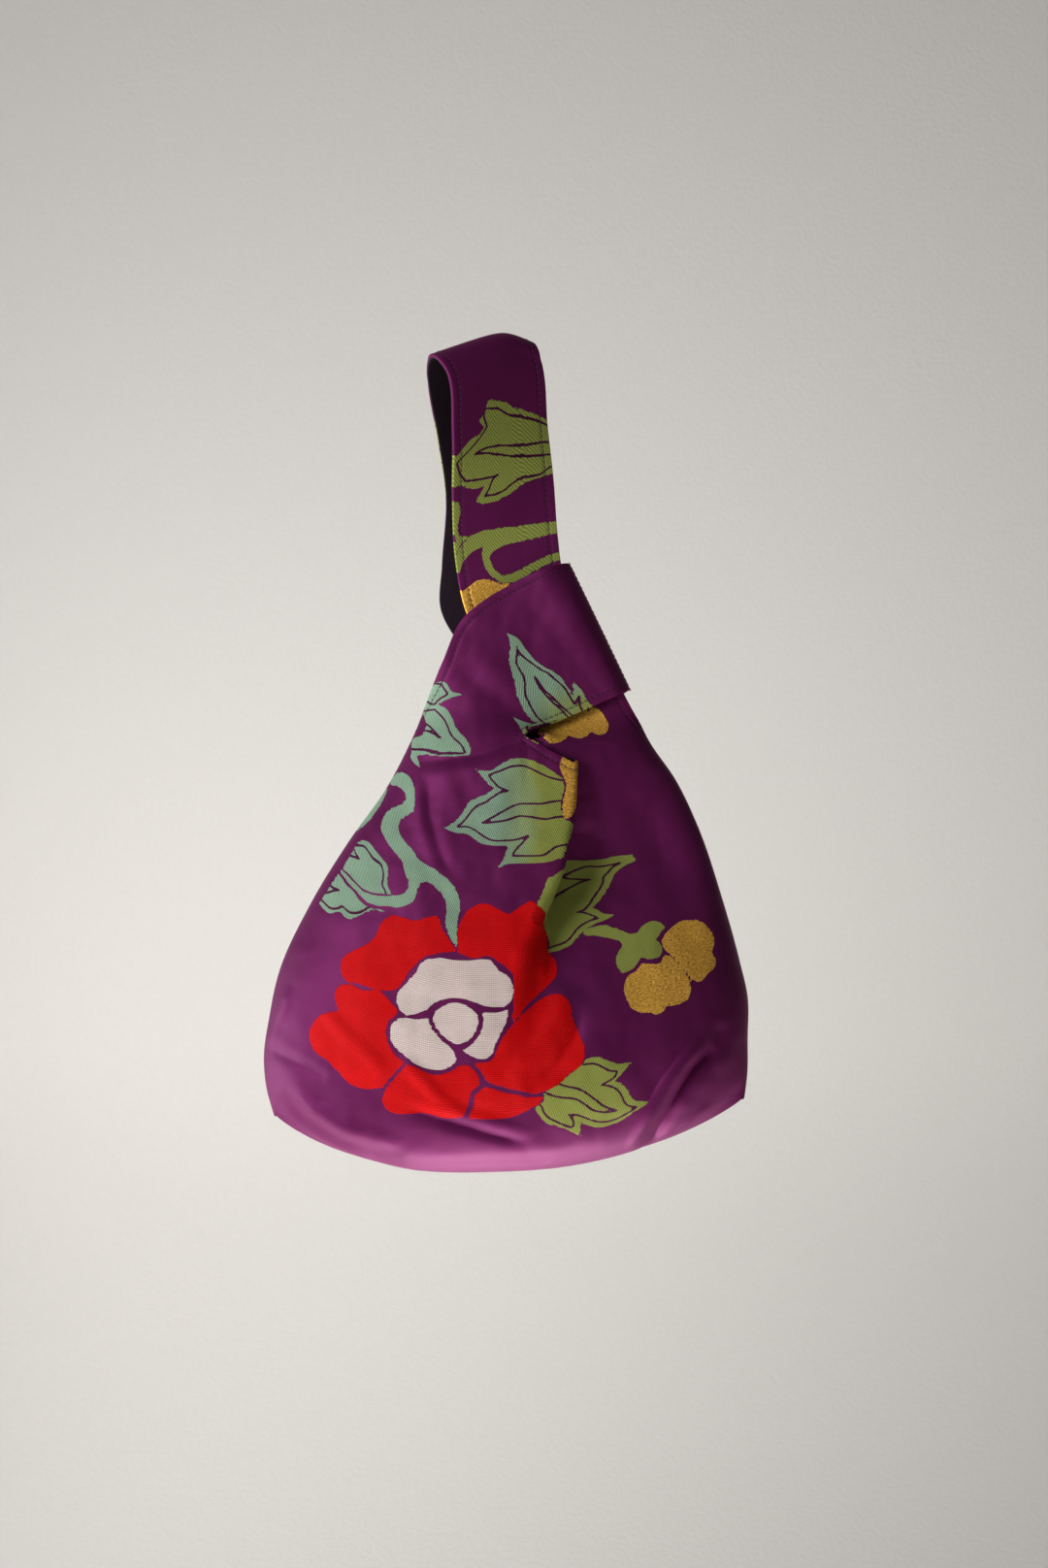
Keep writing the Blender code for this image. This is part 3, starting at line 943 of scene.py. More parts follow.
PEONY = (
    Figure(Weft.RED, ((472, 981, 1), (456, 957), (451, 944), (441, 945), (426, 949), (406, 943),
        (393, 951), (386, 966), (371, 977), (356, 984), (351, 996), (356, 1010), (370, 1014), (391, 1020),
        (409, 1019), (422, 1001), (436, 987), (454, 982))),
    Figure(Weft.RED, ((473, 982, 1), (471, 963), (476, 947), (486, 935), (500, 931), (514, 937),
        (524, 943, 1), (535, 935), (548, 929), (562, 940, 1), (558, 985), (548, 1030, 1), (528, 1056, 1),
        (531, 1035), (534, 1017), (529, 1004), (514, 991), (502, 985), (489, 988))),
    Figure(Weft.RED, ((573, 991), (572, 1007), (560, 1020), (544, 1035), (527, 1052, 1), (529, 1041, 1),
        (530, 1003), (532, 960), (545, 945, 1), (556, 953), (563, 960), (565, 980))),
    Figure(Weft.RED, ((410, 1043), (402, 1032), (391, 1021), (374, 1020), (360, 1014), (347, 1018),
        (345, 1029), (350, 1042, 1), (338, 1043), (325, 1051), (319, 1066), (324, 1083), (337, 1093),
        (350, 1106), (361, 1117), (378, 1122), (394, 1121, 1), (408, 1104), (417, 1095, 1), (405, 1084),
        (398, 1067), (400, 1053))),
    Figure(Weft.RED, ((420, 1097, 1), (410, 1107), (397, 1123, 1), (394, 1136), (403, 1146), (421, 1148),
        (439, 1147), (459, 1152), (477, 1151, 1), (482, 1140), (485, 1127), (495, 1117, 1), (491, 1106),
        (482, 1098), (473, 1098, 1), (461, 1106), (446, 1107), (432, 1102))),
    Figure(Weft.RED, ((500, 1120, 1), (490, 1128), (488, 1140), (482, 1153, 1), (502, 1154), (525, 1152),
        (543, 1144), (556, 1137), (560, 1130, 1), (542, 1130), (519, 1125))),
    Figure(Weft.RED, ((602, 1079), (600, 1096), (587, 1106), (577, 1116), (563, 1124), (545, 1126),
        (522, 1121), (502, 1115, 1), (497, 1106), (488, 1096, 1), (506, 1093), (514, 1077), (521, 1065),
        (526, 1058, 1), (545, 1039), (562, 1027), (576, 1024), (587, 1033), (590, 1049), (596, 1063))),
    Figure(Weft.IVORY, ((419, 1047, 1), (411, 1039), (409, 1025), (418, 1014), (428, 1003), (436, 991),
        (451, 987), (467, 989), (485, 990), (504, 989), (514, 1000), (525, 1008), (529, 1018),
        (527, 1031), (519, 1038, 1), (505, 1038), (492, 1034), (476, 1029), (461, 1029), (449, 1033),
        (437, 1042))),
    Figure(Weft.IVORY, ((446, 1048), (454, 1038), (469, 1033), (484, 1038), (493, 1049), (490, 1063),
        (481, 1073), (470, 1076), (459, 1069), (450, 1059))),
    Figure(Weft.IVORY, ((441, 1049, 1), (429, 1050), (414, 1049), (405, 1054), (402, 1064), (405, 1076),
        (416, 1087), (429, 1097), (446, 1102), (461, 1101), (471, 1092, 1), (465, 1080), (454, 1071),
        (445, 1060))),
    Figure(Weft.IVORY, ((497, 1043, 1), (512, 1043), (524, 1040, 1), (522, 1053), (517, 1063),
        (511, 1075), (507, 1086), (500, 1091), (487, 1089), (477, 1082, 1), (485, 1077), (494, 1067),
        (498, 1053))),
)
BUDS = (
    Figure(Weft.GOLD, ((661, 992, 1), (672, 993), (680, 993, 1), (685, 984, 1), (692, 986), (698, 991),
        (703, 997), (707, 1004), (711, 1012), (712, 1020), (709, 1029), (702, 1034), (694, 1036),
        (686, 1037, 1), (683, 1043), (676, 1045), (668, 1043), (658, 1043), (650, 1038), (646, 1030),
        (643, 1021), (645, 1009), (651, 1003), (657, 999))),
    Figure(Weft.GOLD, ((682, 970), (686, 962), (694, 954), (702, 949), (711, 948), (720, 949), (729, 955),
        (735, 964), (736, 973), (734, 981), (738, 990), (736, 997), (730, 1003), (725, 1009), (719, 1012),
        (713, 1009), (708, 1002), (702, 994), (695, 986), (688, 981), (684, 976))),
    Figure(Weft.STEM, ((600, 963, 1), (604, 957), (611, 955), (620, 953), (630, 955), (641, 959),
        (650, 962), (657, 961, 1), (660, 956), (666, 951), (673, 949), (680, 950), (686, 955, 1),
        (681, 961), (676, 968, 1), (681, 974), (682, 981), (680, 987, 1), (668, 988), (661, 985, 1),
        (658, 990), (655, 996), (649, 1000), (641, 1003, 1), (637, 997), (635, 990), (636, 983),
        (641, 976, 1), (640, 971), (632, 968), (620, 965), (610, 964))),
)
RIGHT_LEAF = (
    Figure(Weft.LEAF, ((657, 886, 1), (650, 889), (643, 892), (636, 898), (631, 905), (627, 914),
        (622, 922), (616, 930), (610, 936, 1), (616, 938), (622, 941), (629, 942), (636, 941, 1),
        (630, 945), (622, 949), (613, 952), (606, 956), (600, 961), (594, 967), (588, 974), (580, 978),
        (572, 981), (564, 982, 1), (566, 976), (566, 970), (562, 961), (556, 955, 1), (548, 951, 1),
        (549, 941), (554, 931), (559, 921), (562, 912, 1), (566, 903, 1), (571, 903), (577, 898),
        (585, 892), (593, 888), (603, 886), (612, 886), (621, 883), (630, 882), (640, 882), (650, 885))),
    Figure(Weft.BLADE, ((640, 889, 1), (630, 891), (618, 893), (605, 893), (595, 896), (584, 901),
        (574, 905), (566, 910), (560, 918), (545, 932, 1), (543, 975, 1), (566, 977, 1), (574, 974),
        (582, 971), (588, 966), (594, 958), (600, 953), (607, 949), (617, 946, 1), (610, 943), (603, 941),
        (594, 940, 1), (601, 938), (607, 932), (612, 924), (617, 917), (621, 910), (622, 904), (627, 898),
        (632, 893))),
    Figure(Weft.VEIN, ((608, 906, 1), (598, 909), (588, 914), (578, 920), (569, 926), (560, 934),
        (551, 942), (540, 950, 1), (548, 962, 1), (557, 952), (564, 942), (571, 933), (579, 925),
        (588, 918), (597, 912))),
)
LOW_LEAF = (
    Figure(Weft.LEAF, ((672, 1136, 1), (664, 1139), (657, 1143), (650, 1148), (641, 1154), (630, 1159),
        (618, 1162), (608, 1160), (600, 1157), (596, 1154, 1), (598, 1162), (599, 1172, 1), (592, 1168),
        (583, 1163), (572, 1160), (563, 1157), (556, 1150), (551, 1141, 1), (557, 1138), (561, 1133),
        (560, 1127, 1), (566, 1122), (573, 1117), (579, 1113), (587, 1107), (594, 1102), (600, 1096),
        (605, 1091), (612, 1089), (620, 1090), (627, 1093), (635, 1096), (642, 1096), (652, 1095, 1),
        (646, 1100), (640, 1107), (634, 1114, 1), (641, 1117), (646, 1122), (650, 1130), (655, 1134),
        (662, 1134))),
    Figure(Weft.BLADE, ((657, 1140, 1), (650, 1145), (641, 1150), (632, 1154), (622, 1156), (612, 1155),
        (604, 1152), (595, 1149), (586, 1148, 1), (589, 1152), (591, 1156), (591, 1162, 1), (583, 1160),
        (574, 1156), (566, 1152), (561, 1147), (558, 1140, 1), (548, 1130, 1), (556, 1115), (575, 1100),
        (592, 1090, 1), (600, 1097, 1), (612, 1096), (620, 1099), (628, 1103), (636, 1104, 1),
        (634, 1109), (629, 1113), (620, 1118, 1), (628, 1119), (635, 1122), (640, 1128), (644, 1136),
        (649, 1140))),
    Figure(Weft.VEIN, ((637, 1144, 1), (628, 1142), (620, 1138), (612, 1132), (604, 1126), (596, 1122),
        (586, 1120), (577, 1117), (566, 1110, 1), (552, 1121, 1), (562, 1126), (570, 1129), (580, 1131),
        (592, 1132), (600, 1136), (608, 1142), (616, 1145), (626, 1146))),
)
PLEAT_LEAF = (
    Figure(Weft.LEAF, ((489, 792, 1), (495, 794), (505, 794), (514, 789), (525, 783), (536, 781),
        (547, 783), (560, 789), (570, 795), (580, 802, 1), (582, 812), (579, 822), (578, 834),
        (582, 843, 1), (592, 850, 1), (580, 884, 1), (563, 889), (550, 890), (535, 890), (522, 891),
        (513, 894, 1), (519, 884), (524, 871, 1), (510, 871), (497, 869), (488, 864), (480, 859),
        (470, 858), (456, 853, 1), (464, 850), (472, 843), (478, 835), (484, 826), (495, 821), (503, 817),
        (510, 813, 1), (503, 808), (497, 801))),
    Figure(Weft.BLADE, ((503, 799, 1), (516, 794), (527, 790), (537, 789), (545, 791), (555, 796),
        (566, 801), (578, 804, 1), (600, 806, 1), (596, 868, 1), (572, 873), (567, 877), (560, 881),
        (545, 882), (528, 882, 1), (532, 875), (538, 869), (545, 861, 1), (533, 865), (520, 866),
        (508, 866), (499, 862), (490, 856), (482, 852), (471, 852, 1), (479, 845), (485, 837), (491, 831),
        (500, 827), (507, 822), (515, 817), (524, 815, 1), (514, 811), (509, 806))),
    Figure(Weft.VEIN, ((497, 848, 1), (510, 841), (522, 834), (533, 829), (545, 828), (558, 828),
        (570, 826), (602, 822, 1), (602, 840, 1), (573, 842), (562, 844), (548, 842), (535, 841),
        (522, 845), (509, 847))),
    Figure(Weft.GOLD, ((583, 812), (583, 805), (579, 797), (577, 789), (579, 782), (583, 777, 1),
        (606, 786, 1), (606, 800), (598, 825), (584, 847, 1), (580, 838), (580, 828))),
)
BAND_LEAF = (
    Figure(Weft.LEAF, ((521, 652, 1), (530, 655), (536, 660), (541, 667), (548, 676), (560, 687),
        (572, 693), (580, 701), (587, 711), (590, 719, 1), (591, 711), (590, 702, 1), (596, 707),
        (602, 716), (608, 725), (613, 731), (622, 742, 1), (600, 756), (575, 768), (556, 766),
        (544, 760, 1), (539, 754), (534, 747), (528, 738, 1), (536, 742), (545, 745), (554, 746, 1),
        (547, 741), (541, 733), (536, 724), (532, 714), (531, 704), (528, 695), (525, 685), (525, 676),
        (526, 668), (525, 660))),
    Figure(Weft.BLADE, ((533, 666, 1), (535, 672), (541, 678), (549, 684), (557, 690), (565, 694),
        (573, 701), (581, 708), (587, 717), (592, 726, 1), (597, 717, 1), (598, 727), (603, 738),
        (612, 754, 1), (576, 775, 1), (556, 768, 1), (552, 760), (548, 755), (542, 749, 1), (550, 749),
        (560, 750), (572, 751, 1), (564, 747), (556, 741), (551, 735), (547, 728), (543, 720), (541, 713),
        (541, 703), (539, 696), (535, 689), (532, 682), (533, 675))),
    Figure(Weft.VEIN, ((551, 697, 1), (557, 706), (563, 713), (570, 719), (579, 728), (588, 736),
        (594, 743), (604, 757, 1), (592, 762, 1), (590, 748), (586, 740), (578, 731), (570, 724),
        (562, 716), (556, 708))),
)
SIDE_LEAF = (
    Figure(Weft.LEAF, ((456, 702, 1), (460, 704), (463, 709), (467, 713), (471, 714), (477, 716, 1),
        (470, 718), (463, 720), (456, 723), (451, 726, 1), (457, 728), (462, 733), (466, 740), (470, 749),
        (474, 755), (480, 761), (484, 768), (485, 774), (484, 778, 1), (470, 779), (455, 779), (440, 778),
        (424, 780, 1), (424, 762, 1), (436, 757, 1), (440, 747, 1), (436, 735, 1), (444, 704, 1))),
    Figure(Weft.BLADE, ((448, 731, 1), (453, 736), (458, 742), (461, 748), (464, 755), (468, 761),
        (473, 765), (477, 770), (480, 776, 1), (470, 776), (455, 776), (447, 775), (440, 773),
        (420, 772, 1), (424, 735, 1))),
    Figure(Weft.BLADE, ((462, 715, 1), (457, 718), (452, 721), (447, 726), (438, 722, 1), (446, 704, 1),
        (455, 705, 1), (458, 710))),
    Figure(Weft.VEIN, ((455, 761, 1), (449, 755), (441, 747), (428, 740, 1), (428, 757, 1), (438, 753),
        (445, 755), (450, 758))),
    Figure(Weft.STEM, ((425, 773, 1), (430, 780), (433, 791, 1), (427, 786), (423, 779))),
)
LEFT_LEAF = (
    Figure(Weft.LEAF, ((404, 921, 1), (393, 921), (384, 920), (375, 916), (367, 909), (360, 901),
        (353, 895, 1), (362, 880), (369, 868, 1), (374, 866), (381, 869), (387, 877), (394, 885),
        (399, 891), (400, 900), (399, 908), (401, 916))),
    Figure(Weft.LEAF, ((402, 938, 1), (393, 939), (383, 938), (375, 941), (368, 945), (361, 947),
        (355, 945), (351, 940), (345, 940), (338, 941), (333, 936), (329, 931, 1), (334, 923), (341, 912),
        (349, 900, 1), (356, 910), (364, 919), (371, 928), (379, 934), (389, 937))),
    Figure(Weft.BLADE, ((398, 922, 1), (397, 918), (394, 912), (395, 905), (395, 898), (392, 890),
        (385, 885), (380, 878), (375, 872), (369, 871), (355, 868, 1), (325, 924, 1), (332, 928),
        (336, 932), (341, 936), (348, 936), (353, 934), (356, 937), (360, 940), (367, 941), (373, 939),
        (380, 935), (392, 931, 1))),
    Figure(Weft.VEIN, ((371, 886, 1), (367, 880), (363, 873), (352, 876, 1), (357, 880, 1), (365, 883))),
    Figure(Weft.VEIN, ((350, 917, 1), (344, 915), (338, 912), (330, 915, 1), (336, 920, 1), (343, 918))),
)
VINE = (
    Figure(Weft.STEM, ((472, 979, 1), (467, 972), (462, 962), (459, 950), (460, 940), (460, 931),
        (455, 921), (447, 913), (440, 908), (434, 910), (430, 917), (428, 925), (421, 932), (410, 935),
        (400, 934), (388, 933), (379, 930), (372, 924), (365, 916), (357, 907), (350, 898, 1),
        (352, 896, 1), (361, 905), (368, 912), (376, 919), (386, 922), (397, 923), (407, 923), (415, 921),
        (420, 916), (421, 908), (418, 901), (416, 893), (413, 885), (407, 878), (400, 869), (394, 858),
        (393, 848), (397, 839), (404, 833), (413, 829), (418, 824), (417, 817), (411, 811), (402, 809, 1),
        (403, 798, 1), (414, 796), (422, 801), (427, 811), (428, 825), (426, 836), (418, 841), (412, 846),
        (411, 855), (417, 866), (425, 876), (432, 886), (441, 892), (450, 897), (460, 905), (468, 914),
        (473, 925), (474, 936), (472, 947), (471, 958))),
    Figure(Weft.STEM, ((400, 813, 1), (396, 822), (388, 836), (379, 847), (369, 856, 1), (365, 853, 1),
        (374, 840), (386, 824), (393, 814, 1))),
)
STRAP_FIGURES = (
    Figure(Weft.LEAF, ((502, 416), (505, 412), (512, 413), (522, 415), (530, 420), (540, 423), (552, 427),
        (578, 438, 1), (582, 483, 1), (560, 491), (548, 495), (537, 500), (528, 507), (520, 512),
        (512, 516), (500, 519), (490, 518, 1), (494, 510), (500, 501, 1), (492, 503), (483, 503),
        (474, 500), (462, 504, 1), (462, 472, 1), (471, 469), (478, 461), (486, 453), (495, 447),
        (499, 441, 1), (493, 433, 1), (497, 430), (500, 424))),
    Figure(Weft.BLADE, ((500, 421, 1), (512, 421), (524, 427), (534, 429), (548, 432), (580, 442, 1),
        (584, 474, 1), (566, 482), (556, 489), (536, 493), (527, 499), (517, 507), (499, 512, 1),
        (504, 504), (508, 494), (514, 489, 1), (500, 493), (480, 496, 1), (474, 488), (471, 477, 1),
        (482, 466), (494, 452), (502, 440, 1), (499, 430))),
    Figure(Weft.VEIN, ((489, 468, 1), (498, 463), (508, 460), (525, 459), (545, 458), (585, 451, 1),
        (585, 465, 1), (560, 469), (535, 470), (517, 469), (503, 467))),
    Figure(Weft.STEM, ((520, 544), (510, 545), (498, 547), (488, 551), (479, 557), (473, 564), (469, 575),
        (466, 600, 1), (460, 600, 1), (462, 562, 1), (471, 558, 1), (466, 548), (462, 517, 1),
        (473, 518, 1), (475, 528), (472, 540), (473, 551), (478, 553, 1))),
    Figure(Weft.STEM, ((590, 535, 1), (566, 538), (550, 540), (530, 543), (510, 545), (498, 547),
        (484, 554), (470, 572), (468, 592, 1), (473, 590, 1), (477, 580), (484, 571), (491, 566),
        (498, 564, 1), (497, 572), (499, 582), (504, 591), (511, 597), (519, 601), (529, 600), (540, 595),
        (552, 588), (565, 581), (590, 573, 1), (590, 566, 1), (566, 572), (553, 578), (540, 585),
        (528, 591), (519, 593), (511, 588), (506, 580), (505, 573), (510, 567), (520, 562), (535, 558),
        (550, 555), (566, 551), (590, 547, 1))),
    Figure(Weft.GOLD, ((484, 604), (490, 599), (497, 597), (506, 598), (515, 601), (526, 602, 1),
        (520, 625, 1), (500, 645, 1), (474, 655, 1), (462, 640, 1), (463, 609, 1), (474, 609))),
)
KNOT_SCALLOPS = (
    Figure(Weft.GOLD, ((592, 760), (599, 761), (605, 758), (610, 754, 1), (615, 757), (621, 757),
        (626, 753), (627, 747), (624, 740), (617, 731), (598, 728), (572, 740), (556, 754), (560, 763),
        (568, 766), (576, 765), (582, 762), (586, 758, 1))),
)
FRONT_FIGURES = (
    PEONY + BUDS + RIGHT_LEAF + LOW_LEAF + PLEAT_LEAF + BAND_LEAF + SIDE_LEAF + LEFT_LEAF + VINE
    + STRAP_FIGURES + KNOT_SCALLOPS
)
BACK_FIGURES = (
    shifted(PEONY, 100, -118, 24, True)
    + shifted(BUDS, -240, -10, 150)
    + shifted(RIGHT_LEAF, -178, 60, 200)
    + shifted(LOW_LEAF, -120, -30, 96)
    + shifted(LEFT_LEAF, 330, 110, 40, True)
    + shifted(PLEAT_LEAF[:3], -96, -60, -40)
    + shifted(BAND_LEAF, -66, 20, 20)
    + shifted(STRAP_FIGURES[:4], -20, 12, 8, True)
    + shifted(PEONY[:2], 150, -330, 60)
)


class Weaving:
    """Lays the pattern's figures on a panel, as the distance from each point of it to each weft's edge."""

    FAR = 0.012
    FACING = 0.08
    CELL = 5
    KEY_STEP = 4000
    UNDER = 0.0035
    REACH = 2.4
    SLACK = 0.004
    START_REACH = 0.006
    NEIGHBOURS = 14
    ENOUGH = 16

    def __init__(self, mesh: Mesh, side: Side) -> None:
        """Finds which points of the panel show in the front view.

        Args:
            mesh: the panel at the cloth's outer face.
            side: which panel it is.
        """
        self.view, self.cloth = FrontView(), mesh.cloth
        seen = self.view.seen(mesh.points)
        normals = vertex_normals(mesh.points, mesh.faces)
        facing = normals[:, 1] * side.value > self.FACING
        cell = np.floor(seen / self.CELL).astype(int)
        cell -= cell.min(axis=0)
        key = cell[:, 0] * self.KEY_STEP + cell[:, 1]
        out = side.value * mesh.points[:, 1]
        nearest = np.full(key.max() + 1, -1.0)
        np.maximum.at(nearest, key[facing], out[facing])
        shows = facing & (out > nearest[key] - self.UNDER)
        self.seen, self.seen_cloth = seen[shows], mesh.cloth[shows]

    def on_cloth(self, line: Array) -> Array:
        """The cloth coordinates of a line of the view, followed step by step along one sheet.

        Args:
            line: the line's points in the view.

        Returns:
            The same points on the cloth.
        """
        placed: list[Array] = []
        fit = np.zeros((3, 2))
        for i, spot in enumerate(line):
            near = np.arange(len(self.seen))
            if placed:
                step = np.linalg.norm(spot - line[i - 1])
                reach = self.REACH * step * self.view.unit + self.SLACK
                from_last = np.sum((self.seen_cloth - placed[-1]) ** 2, axis=1)
                near = np.flatnonzero(from_last < reach**2)
            if len(near) > self.ENOUGH:
                away = np.sum((self.seen[near] - spot) ** 2, axis=1)
                near = near[np.argpartition(away, self.NEIGHBOURS)[: self.NEIGHBOURS]]
                if not placed:
                    away = np.sum((self.seen[near] - spot) ** 2, axis=1)
                    first = self.seen_cloth[near[np.argmin(away)]]
                    from_first = np.linalg.norm(self.seen_cloth[near] - first, axis=1)
                    near = near[from_first < self.START_REACH]
                base = np.concatenate([self.seen[near], np.ones((len(near), 1))], axis=1)
                fit = np.linalg.lstsq(base, self.seen_cloth[near], rcond=1e-6)[0]
            placed.append(np.append(spot, 1.0) @ fit)
        return np.array(placed)

    def distances(self, figures: Iterable[Figure]) -> dict[Weft, Array]:
        """How far each point of the cloth lies from the edge of each weft, negative inside it.

        Args:
            figures: the figures in the view.

        Returns:
            One array for each weft. The veins are cut out of the blades.
        """
        fields = {weft: np.full(len(self.cloth), self.FAR) for weft in Weft}
        for figure in figures:
            line = self.on_cloth(figure.outline())
            low, high = line.min(axis=0) - self.FAR, line.max(axis=0) + self.FAR
            near = np.flatnonzero(np.all((self.cloth > low) & (self.cloth < high), axis=1))
            away, inside = nearest_segment(self.cloth[near], line, np.roll(line, -1, axis=0))
            value = np.minimum(np.where(inside, -away, away), fields[figure.weft][near])
            fields[figure.weft][near] = value
        fields[Weft.BLADE] = np.maximum(fields[Weft.BLADE], -fields.pop(Weft.VEIN))
        return fields


def nearest_segment(points: Array, starts: Array, ends: Array) -> tuple[Array, Array]:
    """Each point's distance to a closed run of segments, and whether it is inside it.

    Args:
        points: the points.
        starts: where each segment starts.
        ends: where each segment ends.

    Returns:
        The distances, and which points are inside.
    """
    best = np.full(len(points), 1e9)
    inside = np.zeros(len(points), bool)
    for a, b in zip(starts, ends):
        run, offset = b - a, points - a
        along = np.clip(offset @ run / max(float(run @ run), 1e-18), 0, 1)
        away = np.hypot(offset[:, 0] - along * run[0], offset[:, 1] - along * run[1])
        best = np.minimum(best, away)
        if run[1] != 0:
            spans = (a[1] > points[:, 1]) != (b[1] > points[:, 1])
            inside ^= spans & (points[:, 0] < a[0] + offset[:, 1] * run[0] / run[1])
    return best, inside


# --------------------------------------------------------------------------------------
# Finishes
# --------------------------------------------------------------------------------------


class Socket:
    """A shader socket on which sums can be written as plain expressions."""

    def __init__(self, graph: "Graph", socket: Any) -> None:
        """Wraps one output socket of a graph."""
        self.graph, self.socket = graph, socket

    def _sum(self, operation: str, *values: Any) -> "Socket":
        """One Math node over this and other values."""
        return self.graph.node("ShaderNodeMath", {"operation": operation}, list(values))

    def __add__(self, other: Any) -> "Socket":
        """self + other."""
        return self._sum("ADD", self, other)

    def __radd__(self, other: Any) -> "Socket":
        """other + self."""
        return self._sum("ADD", other, self)

    def __sub__(self, other: Any) -> "Socket":
        """self - other."""
        return self._sum("SUBTRACT", self, other)

    def __rsub__(self, other: Any) -> "Socket":
        """other - self."""
        return self._sum("SUBTRACT", other, self)

    def __mul__(self, other: Any) -> "Socket":
        """self * other."""
        return self._sum("MULTIPLY", self, other)

    def __truediv__(self, other: Any) -> "Socket":
        """self / other."""
        return self._sum("DIVIDE", self, other)

    def __abs__(self) -> "Socket":
        """abs(self)."""
        return self._sum("ABSOLUTE", self)

    def floor(self) -> "Socket":
        """The whole number below."""
        return self._sum("FLOOR", self)

    def sine(self) -> "Socket":
        """The sine."""
        return self._sum("SINE", self)

    def most(self, other: Any) -> "Socket":
        """The greater of this and another."""
        return self._sum("MAXIMUM", self, other)

    def below(self, limit: Any, soft: float) -> "Socket":
        """1 where this is under the limit and 0 where it is over, with a soft step between."""
        step = (limit - self) * (1 / soft) + 0.5
        return self.graph.node("ShaderNodeClamp", {}, [step, 0.0, 1.0])


class Graph:
    """The node tree of one material."""

    def __init__(self, name: str) -> None:
        """Makes a material with an empty tree.

        Args:
            name: the material's name.
        """
        self.material = bpy.data.materials.new(name)
        self.material.use_nodes = True
        self.tree = self.material.node_tree
        self.tree.nodes.clear()

    def node(
        self,
        kind: str,
        settings: dict[str, Any] | None = None,
        values: list[Any] | dict[Any, Any] | None = None,
        output: int | str = 0,
    ) -> Socket:
        """Makes a node.

        Args:
            kind: the node's type.
            settings: its own settings, set first.
            values: the values or links of its sockets, by place or by name.
            output: which output to return.

        Returns:
            That output.
        """
        made = self.tree.nodes.new(kind)
        for name, value in (settings or {}).items():
            setattr(made, name, value)
        pairs = enumerate(values) if isinstance(values, list) else (values or {}).items()
        for name, value in pairs:
            if isinstance(value, Socket):
                self.tree.links.new(value.socket, made.inputs[name])
            elif value is not None:
                made.inputs[name].default_value = value
        return Socket(self, made.outputs[output])

    def attribute(self, name: str) -> Socket:
        """A number kept on the mesh."""
        return self.node("ShaderNodeAttribute", {"attribute_name": name}, None, "Fac")

    def noise(self, vector: Socket, scale: float, detail: float = 2.0) -> Socket:
        """A smooth noise from 0 to 1."""
        values = {"Vector": vector, "Scale": scale, "Detail": detail, "Roughness": 0.55}
        return self.node("ShaderNodeTexNoise", {}, values, "Fac")

    def mix(self, factor: Any, a: Any, b: Any) -> Socket:
        """Colour a turning into colour b as the factor goes from 0 to 1."""
        settings = {"data_type": "RGBA", "clamp_factor": True}
        return self.node("ShaderNodeMix", settings, {0: factor, 6: a, 7: b}, 2)

    def scaled(self, colour: Socket, amount: Socket) -> Socket:
        """A colour made lighter or darker."""
        return self.node("ShaderNodeVectorMath", {"operation": "SCALE"}, {0: colour, 3: amount})

    def stretched(self, vector: Socket, x: float, y: float) -> Socket:
        """A vector with its first two numbers scaled."""
        return self.node("ShaderNodeVectorMath", {"operation": "MULTIPLY"}, [vector, (x, y, 1.0)])

    def bump(self, height: Socket, strength: float, distance: float) -> Socket:
        """A normal that follows a height, given in shares of the distance."""
        values = {"Strength": strength, "Distance": distance, "Height": height}
        return self.node("ShaderNodeBump", {}, values, "Normal")

    def principled(self, constants: dict[str, Any], **inputs: Any) -> Socket:
        """A Principled shader.

        Args:
            constants: the numbers and colours that are the same all over.
            inputs: what varies over the surface: colour, roughness, metallic and normal.

        Returns:
            The shader.
        """
        names = {"colour": "Base Color", "roughness": "Roughness", "metallic": "Metallic"}
        values = {names.get(key, "Normal"): value for key, value in inputs.items()}
        return self.node("ShaderNodeBsdfPrincipled", {}, {**constants, **values})

    def finish(self, shader: Socket) -> bpy.types.Material:
        """Links a shader to the material's surface and returns the material.

        Args:
            shader: the shader's output.

        Returns:
            The material.
        """
        made = self.tree.nodes.new("ShaderNodeOutputMaterial")
        self.tree.links.new(shader.socket, made.inputs["Surface"])
        return self.material


def rgb(red: float, green: float, blue: float) -> tuple[float, float, float, float]:
    """A linear colour from the eight-bit numbers that a screen shows.

    Args:
        red: from 0 to 255.
        green: from 0 to 255.
        blue: from 0 to 255.

    Returns:
        The linear red, green and blue, and an alpha of 1.
    """
    shown = (red, green, blue)
    linear = [((c / 255 + 0.055) / 1.055) ** 2.4 if c > 10 else c / 255 / 12.92 for c in shown]
    return (*linear, 1.0)


